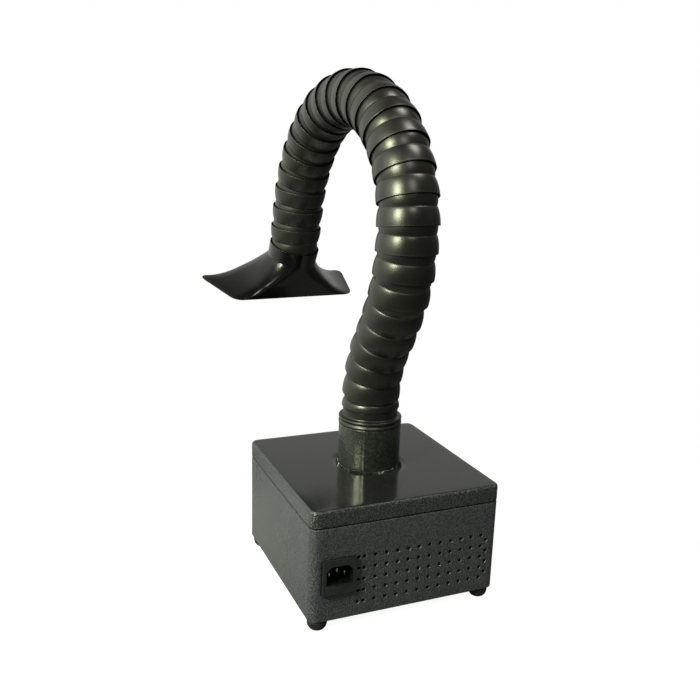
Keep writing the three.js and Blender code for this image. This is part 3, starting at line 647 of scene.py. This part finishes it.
def roundedOver(radius, top, steps):
    # a quarter round from the wall in to the top
    turn = np.linspace(0, np.pi / 2, steps)
    return [(radius * (1 - math.cos(a)), top - radius * (1 - math.sin(a))) for a in turn]


def makeCase():
    # the outline carried up the wall and rounded in at both ends, with the openings left out of it
    size = caseSize
    step = vents["pitch"] / vents["lattice"]
    centres = ventCentres()
    margin = vents["pitch"] / 2
    ventX = np.arange(centres[:, 0].min() - margin, centres[:, 0].max() + margin, step)
    ventZ = np.arange(centres[:, 1].min() - margin, centres[:, 1].max() + margin + step / 2, step)
    inletLow, inletHigh = (np.array(corner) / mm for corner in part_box("inlet_housing"))
    switchLow, switchHigh = (np.array(corner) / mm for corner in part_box("switch_bezel"))
    flange, bezel = size["inletFlange"], size["switchFlange"]  # how far each reaches past the hole it sits in
    inletX = np.array([inletLow[0] + flange, inletHigh[0] - flange]) - caseMiddle[0]
    inletZ = np.array([inletLow[2] + flange, inletHigh[2] - flange])
    backRun = nominalRun[-1] / 2
    switchRun = backRun - (np.array([switchHigh[0] - bezel, switchLow[0] + bezel]) - caseMiddle[0])
    switchZ = np.array([switchLow[2] + bezel, switchHigh[2] - bezel])
    plain = outlineLines()
    plain = plain[(plain < ventX[0] - step) | (plain > ventX[-1] + step)]
    along = gridLines(plain, ventX, inletX, switchRun)
    low, seam, bottom, lip = (size[key] for key in ("low", "seam", "bottomRound", "lipRound"))
    under = roundedUp(bottom, low, size["roundSteps"])
    over = roundedOver(lip, seam, size["roundSteps"])
    wall = gridLines(ventZ, inletZ, switchZ, np.linspace(low + bottom, seam - lip, size["wallLines"]))
    rows = [(size["corner"] - size["baseCorner"], low), *under[:-1], *[(0, z) for z in wall], *over[1:]]
    grid = rows3d(along, rows)
    height = np.array([z for inset, z in rows])
    onWall = np.array([inset == 0 for inset, z in rows])

    # lattice points round each vent are drawn on to its circle, and the faces inside it are left out
    spot = np.stack(np.broadcast_arrays(along[None, :], height[:, None]), axis=-1)
    away = spot[:, :, None] - centres
    reach = np.abs(away).max(axis=-1)
    nearest = reach.argmin(axis=-1)
    offset = np.take_along_axis(away, nearest[..., None, None], axis=2)[:, :, 0]
    ring = np.round(reach.min(axis=-1) / step).astype(int)
    ring[~onWall] = vents["lattice"]  # too far from any vent to matter
    onRing = ring == vents["ring"]
    length = np.maximum(np.linalg.norm(offset, axis=-1, keepdims=True), nearZero)
    moved = centres[nearest] + offset / length * vents["radius"]
    target = np.where(onRing[..., None], moved, spot)
    points = outlineAt(target[..., 0].reshape(-1), 0).reshape(*target.shape)
    grid[onRing] = np.concatenate([points, target[..., 1:]], axis=-1)[onRing]

    closed = np.r_[along, along[0] + nominalRun[-1]]
    middleS = (closed[:-1] + closed[1:]) / 2
    middleZ = (height[:-1] + height[1:]) / 2
    inside = np.maximum(ring[:-1], ring[1:])
    inside = np.maximum(inside, np.roll(inside, -1, axis=1)) <= vents["ring"]
    inInlet = (middleS > inletX[0]) & (middleS < inletX[1])
    inSwitch = (middleS > switchRun[0]) & (middleS < switchRun[1])
    drop = inside | (inInlet & ((middleZ > inletZ[0]) & (middleZ < inletZ[1]))[:, None])
    drop |= inSwitch & ((middleZ > switchZ[0]) & (middleZ < switchZ[1]))[:, None]
    grid[..., :2] += caseMiddle[:2]
    case = gridMesh("vented_case", grid, capFirst=True, drop=drop)
    dropLoose(case)
    thickened(case, size["sheet"])
    dressed(case, finishes["case_paint"], "base", "case_paint", "case_body")


lidSize = {"low": 96.4, "top": 111.5, "fillet": 2.8, "lipRound": 0.9, "hole": 28.8, "topCorner": 0.6,
           "topBand": 0.2, "filletSteps": 8, "lipSteps": 5, "wallLines": 4, "topRings": 8}


def makeLid():
    # the outline carried up and over a rounded edge, then in straight lines to the collar's round hole
    size = lidSize
    lip, fillet, low, top = (size[key] for key in ("lipRound", "fillet", "low", "top"))
    rows = roundedUp(lip, low, size["lipSteps"])
    rows += [(0, z) for z in np.linspace(low + lip, top - fillet, size["wallLines"])[1:-1]]
    rows += roundedOver(fillet, top, size["filletSteps"])
    rows += [(caseSize["corner"] - size["topCorner"], top)]
    grid = rows3d(outlineLines(), rows)
    edge = grid[-1]
    circle = polar(size["hole"], np.arctan2(edge[:, 1], edge[:, 0]), top)
    t = np.linspace(0, 1, size["topRings"] + 1)[1:, None, None]
    grid = np.concatenate([grid, edge * (1 - t) + circle * t])
    grid[..., :2] += caseMiddle[:2]
    lid = gridMesh("pressed_lid", grid)
    thickened(lid, caseSize["sheet"])
    dressed(lid, finishes["lid_side_paint"], "base", "lid_paint", "lid")
    height = np.array([face.center.z for face in lid.data.polygons])
    paintFaces(lid, "lid_paint", height > (top - size["topBand"]) * mm)


makeCase()
makeLid()
print("case and lid done")


# Feet

footSize = {
    "profile": [  # radius, height, rounding
        (leastRadius, 0, 0), (6.0, 0.05, 1.2), (8.2, 2.9, 1.4), (8.8, 5.5, 1.2),
        (8.8, 8.1, 0.5), (8.2, 8.5, 0.3), (8.2, 9.7, 0), (leastRadius, 9.7, 0)],
    "sides": 48,
}


def makeFoot(node):
    # the filleted profile spun about the foot's middle
    middle = centreOf(node)
    grid = spun(filleted(footSize["profile"]), footSize["sides"]) + np.array([middle[0], middle[1], 0])
    foot = gridMesh(node.replace("foot", "rubber_foot"), grid, capFirst=True, capLast=True)
    dressed(foot, finishes["rubber"], "base", "rubber", node)


for corner in ("front_left", "front_right", "rear_left", "rear_right"):
    makeFoot("foot_" + corner)
print("feet done")


# Collar

collarSize = {"radius": 29.0, "wall": 2.0, "height": 39.7, "intoLid": 3.0, "edgeRound": 0.6, "skin": 0.7,
              "seamAngle": -122.3, "seamWide": 1.3, "seamProud": 0.22, "sides": 360}


def makeCollar():
    # a tube spun from its section, whose skin swells in a bell curve along the seam
    size = collarSize
    outside, inside = size["radius"], size["radius"] - size["wall"]
    low, top = lidSize["top"] - size["intoLid"], lidSize["top"] + size["height"]
    edge = size["edgeRound"]
    profile = filleted([(outside, low, 0), (outside, top, edge), (inside, top, edge), (inside, low, 0)])
    grid = spun(profile, size["sides"])
    angle = roundTheAxis(size["sides"])
    gap = np.degrees(np.angle(np.exp(1j * (angle - math.radians(size["seamAngle"])))))
    arc = np.radians(gap) * outside
    proud = size["seamProud"] * np.exp(-(arc / size["seamWide"]) ** 2)
    skin = (profile[:, 0] > outside - size["skin"])[:, None]
    grow = 1 + skin * proud / outside
    grid[..., :2] *= grow[..., None]
    grid[..., :2] += caseMiddle[:2]
    collar = gridMesh("rolled_collar", grid, along=True)
    dressed(collar, finishes["collar_paint"], "base", "case_paint", "inlet_collar")


weldSize = {"wide": 0.55, "high": 0.5, "lumps": 0.7, "least": 0.35, "most": 1.9, "hollow": 1.2, "inset": 0.3,
            "ripple": 0.16, "slant": 0.7, "rootInset": 0.6, "rootDepth": 0.3, "sides": 720, "rows": 7,
            "beads": (4, 9, 30, 150), "ripples": (9, 7, 90, 260)}  # seed, waves, range of lumps in a wave


def lumps(angle, seed, count, low, high):
    # a sum of waves round the circle with whole numbers of lumps, so that it closes on itself
    draw = np.random.default_rng(seed)
    waves = draw.integers(low, high, count)
    phase = draw.uniform(0, 2 * np.pi, count)
    return np.sin(angle[..., None] * waves + phase).sum(axis=-1) / math.sqrt(count)


def makeWeld():
    # a fillet of weld round the foot of the collar: a quarter round whose size wanders
    size, radius, floor = weldSize, collarSize["radius"], lidSize["top"]
    angle = roundTheAxis(size["sides"])
    section = np.linspace(0, np.pi / 2, size["rows"])
    wander = np.clip(1 + size["lumps"] * lumps(angle, *size["beads"]), size["least"], size["most"])
    out = radius - size["inset"] + size["wide"] * wander * np.sin(section)[:, None] ** size["hollow"]
    up = floor + size["high"] * wander * np.cos(section)[:, None] ** size["hollow"]
    ripple = size["ripple"] * lumps(angle + size["slant"] * section[:, None], *size["ripples"])
    out = out + ripple * np.sin(2 * section)[:, None]
    root = polar(radius - size["rootInset"], angle, floor - size["rootDepth"])
    grid = np.concatenate([root[None], polar(out, angle, up)[::-1]])
    grid[..., :2] += caseMiddle[:2]
    weld = gridMesh("collar_weld", grid, along=True)
    dressed(weld, finishes["weld_paint"], "base", "case_paint")


makeCollar()
makeWeld()
print("collar done")


# Hose rings

ringNames = sorted(name for name in joints if name.startswith("ring_tilt_"))
armAxis = np.array(joints[ringNames[1]]["axis"])
places = np.array([joints[name]["pos_m"] for name in ("arm_swivel", *ringNames, "hood_swivel")]) / mm
hoseSize = {"pitch": 21.1, "lip": 26.75, "lipDrop": 1.0, "lipBevel": 1.6, "lipEdge": 0.15, "lipRise": 0.2,
            "lipRounds": (0.1, 0.15), "shoulderFrom": 1.0, "shoulderTo": 14.7, "neck": 24.2, "bulge": 0.75,
            "ball": 24.9, "ballRise": 0.15, "ballReach": 6.5, "bore": 22.2, "socket": 25.7,
            "socketAngle": 28.5, "wearWide": 0.7, "sides": 112, "lipSteps": 4, "barrelSteps": 22,
            "ballSteps": 14, "socketSteps": 8}
bevelTop = hoseSize["lipBevel"] - hoseSize["lipDrop"]  # where the bevel of the lip meets the socket


def barrelProfile():
    # full at the lip and drawn in to the neck: radius = neck + (lip - neck) (1 - t^2)^bulge
    size = hoseSize
    t = np.sin(np.linspace(0, np.pi / 2, size["barrelSteps"]))
    z = size["shoulderFrom"] + (size["shoulderTo"] - size["shoulderFrom"]) * t
    r = size["neck"] + (size["lip"] - size["neck"]) * np.maximum(1 - t ** 2, 0) ** size["bulge"]
    return np.c_[r, z]


def ballProfile():
    # a sphere about the next joint, radius = sqrt(ball^2 - z^2), cut off square at the bore
    size = hoseSize
    low = size["shoulderTo"] + size["ballRise"] - size["pitch"]
    z = np.linspace(low, size["ballReach"], size["ballSteps"])
    r = np.sqrt(size["ball"] ** 2 - z ** 2)
    return np.vstack([np.c_[r, z + size["pitch"]], [[size["bore"], size["pitch"] + size["ballReach"]]]])


def socketProfile():
    # an arc about the ring's own joint, from deep inside down to the bevel
    size = hoseSize
    low = math.degrees(math.asin(bevelTop / size["socket"]))
    angle = np.radians(np.linspace(size["socketAngle"], low, size["socketSteps"]))
    return size["socket"] * np.c_[np.cos(angle), np.sin(angle)]


def lipProfile():
    # the mouth of the socket is bevelled almost to an edge, so that the gap shows as a dark line
    size = hoseSize
    lip, low = size["lip"], -size["lipDrop"]
    underRound, edgeRound = size["lipRounds"]
    inner = math.sqrt(size["socket"] ** 2 - bevelTop ** 2)
    corners = [(inner, bevelTop, 0), (lip - size["lipEdge"], low, underRound),
               (lip, low + size["lipRise"], edgeRound), (lip, size["shoulderFrom"], 0)]
    return filleted(corners, size["lipSteps"])[1:-1]


def wearOn(profile, spots, width):
    # 1 at each spot of the profile, fading over the width
    distance = np.linalg.norm(profile[:, None] - np.asarray(spots)[None], axis=-1).min(axis=1)
    return np.exp(-(distance / width) ** 2)


def makeRing(number):
    # lip, barrel, ball and socket as one closed profile, spun and pointed along the arm
    size = hoseSize
    profile = np.vstack([lipProfile(), barrelProfile(), ballProfile(), socketProfile()])
    edges = [(size["lip"], size["lipRise"] - size["lipDrop"]), (size["neck"], size["shoulderTo"])]
    wear = wearOn(profile, edges, size["wearWide"])
    direction = places[number + 1] - places[number]
    grid = placed(spun(profile, size["sides"]), places[number], armAxis, direction)
    ring = gridMesh(f"ball_ring_{number:02d}", grid, along=True, values=wear[:, None])
    dressed(ring, finishes["hose_plastic"], f"ring_{number:02d}", "hose_plastic", f"hose_ring_{number:02d}")


adaptorSize = {
    "profile": [  # radius, height over the first joint, rounding
        (26.7, -30.0, 0), (26.7, -8.0, 0.2), (29.2, -8.0, 0.5), (29.6, -6.4, 1.0), (28.2, -4.5, 0.6),
        (29.6, -2.6, 1.0), (29.1, -1.0, 0.6), (25.2, -0.4, 1.2), (25.7, 7.4, 0.8), (26.7, 8.2, 0.4)],
    "worn": [3, 5, 9],  # corners of the profile
    "wearWide": 0.8, "shoulderSteps": 13,
}


def makeAdaptor():
    # spigot, double bead, waist, elliptic shoulder and ball as one closed profile, spun upright
    size, hose = adaptorSize, hoseSize
    corners = np.array(size["profile"])
    edge, waistTop = corners[-1, :2]
    t = np.linspace(0, 1, size["shoulderSteps"] + 1)[1:]
    shoulder = np.c_[hose["neck"] + (edge - hose["neck"]) * np.sqrt(1 - t ** 2),
                     waistTop + (hose["shoulderTo"] - waistTop) * t]
    profile = np.vstack([filleted(corners), shoulder, ballProfile(), [[hose["bore"], corners[0, 1]]]])
    wear = wearOn(profile, corners[size["worn"], :2], size["wearWide"])
    grid = placed(spun(profile, hose["sides"]), places[0], armAxis, (0, 0, 1))
    adaptor = gridMesh("beaded_adaptor", grid, along=True, values=wear[:, None])
    dressed(adaptor, finishes["hose_plastic"], "arm_base", "hose_plastic", "hose_adaptor")


makeAdaptor()
for number in range(1, len(ringNames) + 1):
    makeRing(number)
print("hose rings:", len(ringNames))


# Hood

hoodSize = {"tilt": 9.0, "lean": -3.7, "turn": -6.0, "neck": 14.0, "neckTaper": 0.4, "lipRound": 0.3,
            "length": 50.0, "wall": 2.0, "nearWidth": 147.0, "farWidth": 183.2, "nearY": 26.5, "farY": -29.9,
            "corner": 10.0, "ridge": 1.2, "squareBy": 0.4, "outerDrop": 1.2, "innerDrop": 0.5, "rimWear": 0.8,
            "rim": ((0.15, 0.4), (0.6, 0.0), (1.6, 0.0)),  # inset, and depth below the mouth
            "sides": 192, "flareRows": 36, "lipSteps": 5}


def unitRows(rows):
    return rows / np.linalg.norm(rows, axis=1, keepdims=True)


def mouthLoop(inset):
    # four corners rounded by quadratic curves, each bend and each side with the same number of points
    size = hoodSize
    near, far = size["nearWidth"] / 2 - inset, size["farWidth"] / 2 - inset
    nearY, farY = size["nearY"] - inset, size["farY"] + inset
    corners = np.array([[near, nearY], [-near, nearY], [-far, farY], [far, farY]])
    before = unitRows(np.roll(corners, 1, axis=0) - corners) * size["corner"] + corners
    after = unitRows(np.roll(corners, -1, axis=0) - corners) * size["corner"] + corners
    perSide = size["sides"] // (2 * len(corners))
    t = np.linspace(0, 1, perSide, endpoint=False)[None, :, None]
    arrive = np.roll(before, -1, axis=0)
    side = after[:, None] * (1 - t) + arrive[:, None] * t
    return np.concatenate([bent(before, corners, after, t), side], axis=1).reshape(-1, 2)


def turned(axis, degrees):
    return np.array(Matrix.Rotation(math.radians(degrees), 3, axis))


def makeHood():
    # neck, flare, rim, inner flare and socket as the rings of one closed strip
    size, hose = hoodSize, hoseSize
    share = np.arange(size["sides"]) / size["sides"]
    angle = np.pi / 4 + (share - 1 / 16) * 2 * np.pi  # the middle of the first bend stands at 45 degrees
    circle = np.c_[np.cos(angle), np.sin(angle)]

    def level(loop, z):
        return np.c_[loop, np.full(size["sides"], z)]

    def flare(radius, outline, low, high):
        # an even spread whose height follows a parabola: sloping at the neck, level at the mouth
        spread = np.linspace(0, 1, size["flareRows"])[1:, None]
        squared = np.minimum(spread / size["squareBy"], 1) ** 2
        power = 2 + size["ridge"] * squared  # a circle that squares up as it opens
        square = (np.abs(circle[:, 0]) ** power + np.abs(circle[:, 1]) ** power) ** (-1 / power)
        start = radius * circle[None] * square[..., None]
        flat = start * (1 - spread[..., None]) + outline[None] * spread[..., None]
        z = np.broadcast_to(high - (high - low) * (1 - spread) ** 2, flat.shape[:2])
        return np.concatenate([flat, z[..., None]], axis=-1)

    lip = filleted([(hose["socket"], bevelTop, 0), (hose["lip"], -hose["lipDrop"], size["lipRound"]),
                    (hose["lip"] - size["neckTaper"], size["neck"], 0)], size["lipSteps"])
    mouth, throat = size["length"], size["neck"] + size["wall"]
    neck = [level(circle * r, z) for r, z in lip[1:]]
    outer = flare(lip[-1, 0], mouthLoop(0), size["neck"], mouth - size["outerDrop"])
    rim = [level(mouthLoop(inset), mouth - drop) for inset, drop in size["rim"]]
    inner = flare(hose["bore"], mouthLoop(size["wall"]), throat, mouth - size["innerDrop"])[::-1]
    socket = [level(circle * r, z) for r, z in [(hose["bore"], throat), *socketProfile()]]
    grid = np.concatenate([neck, outer, rim, inner, socket])
    wear = np.zeros(len(grid))
    rimRow = len(neck) + len(outer)
    wear[rimRow - 1:rimRow + 2] = size["rimWear"]
    hoodAxis = np.array(joints["hood_swivel"]["axis"])
    armEnd = unit(places[-1] - places[-2])
    carrier = np.stack([armAxis, np.cross(armEnd, armAxis), armEnd], axis=1)
    across = carrier @ turned("X", size["tilt"]) @ turned("Y", size["lean"]) @ turned("Z", size["turn"])[:, 0]
    grid = placed(grid, places[-1], across, hoodAxis)
    hood = gridMesh("flared_hood", grid, along=True, values=wear[:, None])
    dressed(hood, finishes["hood_plastic"], "hood", "hood_plastic", "hood")


makeHood()
print("hood done")


# Inlet, switch and other small fittings

fittings = {  # node: (edge rounding, finish, body)
    "inlet_housing": (0.5, "black_plastic", "base"),
    "fuse_drawer": (0.35, "black_plastic", "fuse_drawer"),
    "line_pin": (0.25, "nickel", "base"),
    "neutral_pin": (0.25, "nickel", "base"),
    "earth_pin": (0.25, "nickel", "base"),
    "switch_bezel": (0.4, "black_plastic", "base"),
    "switch_rocker": (0.35, "black_plastic", "rocker"),
}


def shadeSocketRecess(inlet, deeperThan=1.2):
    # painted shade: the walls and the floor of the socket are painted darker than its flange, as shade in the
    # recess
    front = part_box("inlet_housing")[0][1]
    depth = np.array([face.center.y for face in inlet.data.polygons]) - front
    paintFaces(inlet, "socket_plastic", depth > deeperThan * mm)


for node, (rounding, finish, body) in fittings.items():
    fitting = dressed(softened(node, rounding), finishes[finish], body, finish, node)
    if node == "inlet_housing":
        # painted shade in the socket's recess
        shadeSocketRecess(fitting)
print("fittings:", len(fittings))


# Stage, lights and camera

cameraFit = {"azimuth": -23.255, "elevation": 14.0, "roll": 1.808, "lens": 41.7, "sensor": 36.0,
             "fromCase": (-303.68, -654.37, 389.2)}


def viewAxes(azimuth, elevation, roll=0.0):
    # right, up and back of a camera or lamp that looks from these angles; azimuth 0 looks along +Y
    a, e, r = np.radians([azimuth, elevation, roll])
    back = np.array([np.sin(a) * np.cos(e), -np.cos(a) * np.cos(e), np.sin(e)])
    right = np.array([np.cos(a), np.sin(a), 0])
    up = np.cross(back, right)
    return np.cos(r) * right + np.sin(r) * up, np.cos(r) * up - np.sin(r) * right, back


def stand(obj, spot, axes):
    # puts a camera or lamp at the spot, turned to the axes
    obj.matrix_world = Matrix.Translation(Vector(spot * mm)) @ Matrix(np.stack(axes, axis=1)).to_4x4()
    bpy.context.scene.collection.objects.link(obj)


def makeCamera():
    fit = cameraFit
    spot = np.array([caseMiddle[0], caseMiddle[1], caseSize["low"]]) + np.array(fit["fromCase"])
    data = bpy.data.cameras.new("photo_camera")
    data.lens = fit["lens"]
    data.sensor_width = fit["sensor"]
    camera = bpy.data.objects.new("photo_camera", data)
    stand(camera, spot, viewAxes(fit["azimuth"], fit["elevation"], fit["roll"]))
    bpy.context.scene.camera = camera


lampTarget = (0.0, 0.0, 240.0)
lamps = {  # azimuth from the camera (left is negative), elevation, distance, width, height, watts, colour
    "key": (-39, 27, 1500, 480, 620, 36, (0.98, 1.0, 0.77)),
    "window": (-68, 24, 1650, 900, 1100, 4, (0.98, 1.0, 0.9)),
    "top": (80, 66, 1400, 400, 400, 7, (1.0, 0.94, 0.92)),
    "front": (17, 42, 1600, 420, 420, 4, (1.0, 0.97, 0.96)),
}


def makeLamp(name, azimuth, elevation, distance, width, height, watts, colour):
    axes = viewAxes(cameraFit["azimuth"] + azimuth, elevation)
    data = bpy.data.lights.new(name, "AREA")
    data.shape = "RECTANGLE"
    data.size, data.size_y = width * mm, height * mm
    data.energy = watts
    data.color = colour
    stand(bpy.data.objects.new(name, data), np.array(lampTarget) + axes[2] * distance, axes)


floorSize = {"radius": 360.0, "inner": 0.002, "bright": 0.42, "dim": 0.13, "rim": 0.05, "brightSide": -140.0,
             "sidePower": 1.6, "fadeFrom": 0.6, "toGloss": 0.05, "shade": 0.35, "specular": 0.1,
             "roughness": 0.9, "sides": 96, "rows": 16}


def makeFloor():
    # a pale disc round the case: white to the camera, dim in reflections, with the shadow left in it
    size = floorSize
    angle = roundTheAxis(size["sides"])
    share = np.linspace(size["inner"], 1, size["rows"])[:, None]
    grid = polar(size["radius"] * share, angle, 0.0)
    grid[..., :2] += caseMiddle[:2]
    turn = math.radians(cameraFit["azimuth"] + size["brightSide"] - 90)  # azimuths are counted from -Y
    side = (0.5 + 0.5 * np.cos(angle - turn)) ** size["sidePower"]
    tone = size["dim"] + (size["bright"] - size["dim"]) * side
    fade = np.clip((share - size["fadeFrom"]) / (1 - size["fadeFrom"]), 0, 1)
    tone = tone * (1 - fade) + size["rim"] * fade
    floor = gridMesh("floor", grid, capFirst=True, values=tone, attribute="tone")
    material, tree, shader = startMaterial("floor_white", specular=size["specular"])
    level = addNode(tree, "ShaderNodeAttribute", attribute_name="tone").outputs["Fac"]
    tree.links.new(level, shader.inputs["Base Color"])
    shader.inputs["Roughness"].default_value = size["roughness"]
    shader.inputs["Emission Color"].default_value = (1, 1, 1, 1)
    path = addNode(tree, "ShaderNodeLightPath")
    direct = combine(tree, "MAXIMUM", path.outputs["Is Camera Ray"], path.outputs["Is Transmission Ray"])
    white = combine(tree, "SUBTRACT", 1.0, combine(tree, "MULTIPLY", level, size["shade"]))
    gloss = combine(tree, "MULTIPLY", path.outputs["Is Glossy Ray"], size["toGloss"])
    glow = combine(tree, "MAXIMUM", combine(tree, "MULTIPLY", direct, white), gloss)
    tree.links.new(glow, shader.inputs["Emission Strength"])
    floor.data.materials.append(material)


drapeSize = {"radius": 2400.0, "middle": (0.0, 0.0, 250.0), "ground": 0.08, "colour": (0.99, 1.0, 0.9),
             "topAngle": 89.0, "edgePower": 4, "rows": 45, "columns": 120}
drapePatches = {  # azimuth from the camera (left is negative), elevation, half width, half height, tone
    "leftWall": (-108, 17.5, 58, 47, 1.05),
    "leftSkirting": (-140, -14, 50, 14, 0.34),
    "rightGlow": (100, 30, 40, 30, 0.16),
    "backWall": (176, 20, 44, 26, 0.49),
    "ceiling": (0, 90, 720, 26, 0.09),
}


def makeDrape():
    # the walls of the room, seen only in reflections and as soft light: light patches on a dark ground
    size = drapeSize
    azimuth = np.linspace(-180, 180, size["columns"], endpoint=False)[None, :]
    elevation = np.linspace(-size["topAngle"], size["topAngle"], size["rows"])[:, None]
    tone = np.full((size["rows"], size["columns"]), size["ground"])
    for middle, height, halfWide, halfHigh, level in drapePatches.values():
        aside = ((azimuth - middle + 180) % 360 - 180) / halfWide
        rise = (elevation - height) / halfHigh
        tone = np.maximum(tone, level * np.exp(-aside ** size["edgePower"] - rise ** size["edgePower"]))
    a, e = np.radians(azimuth + cameraFit["azimuth"]), np.radians(elevation)
    away = np.stack(np.broadcast_arrays(np.sin(a) * np.cos(e), -np.cos(a) * np.cos(e), np.sin(e)), axis=-1)
    drape = gridMesh("drape", away * size["radius"] + np.array(size["middle"]), values=tone, attribute="tone")
    material, tree, shader = startMaterial("drape_cloth", specular=0.0)
    shader.inputs["Base Color"].default_value = (0, 0, 0, 1)
    shader.inputs["Emission Color"].default_value = (*size["colour"], 1)
    level = addNode(tree, "ShaderNodeAttribute", attribute_name="tone")
    tree.links.new(level.outputs["Fac"], shader.inputs["Emission Strength"])
    drape.data.materials.append(material)
    drape.visible_camera = False
    drape.visible_transmission = False
    drape.visible_shadow = False


def makeWorld(level=0.1):
    # white to the camera, in gloss and through glass, dim as a lamp
    world = bpy.data.worlds.new("studio")
    bpy.context.scene.world = world
    world.use_nodes = True
    tree = world.node_tree
    background = tree.nodes["Background"]
    path = addNode(tree, "ShaderNodeLightPath")
    seen = combine(tree, "MAXIMUM", path.outputs["Is Camera Ray"], path.outputs["Is Glossy Ray"])
    seen = combine(tree, "MAXIMUM", seen, path.outputs["Is Transmission Ray"])
    strength = addNode(tree, "ShaderNodeMapRange")
    strength.inputs["To Min"].default_value = level
    strength.inputs["To Max"].default_value = 1.0
    tree.links.new(seen, strength.inputs["Value"])
    tree.links.new(strength.outputs["Result"], background.inputs["Strength"])
    background.inputs["Color"].default_value = (1, 1, 1, 1)


makeCamera()
makeFloor()
makeDrape()
for name, settings in lamps.items():
    makeLamp(name, *settings)
makeWorld()
bpy.context.scene.view_settings.view_transform = "Standard"
print("stage done")
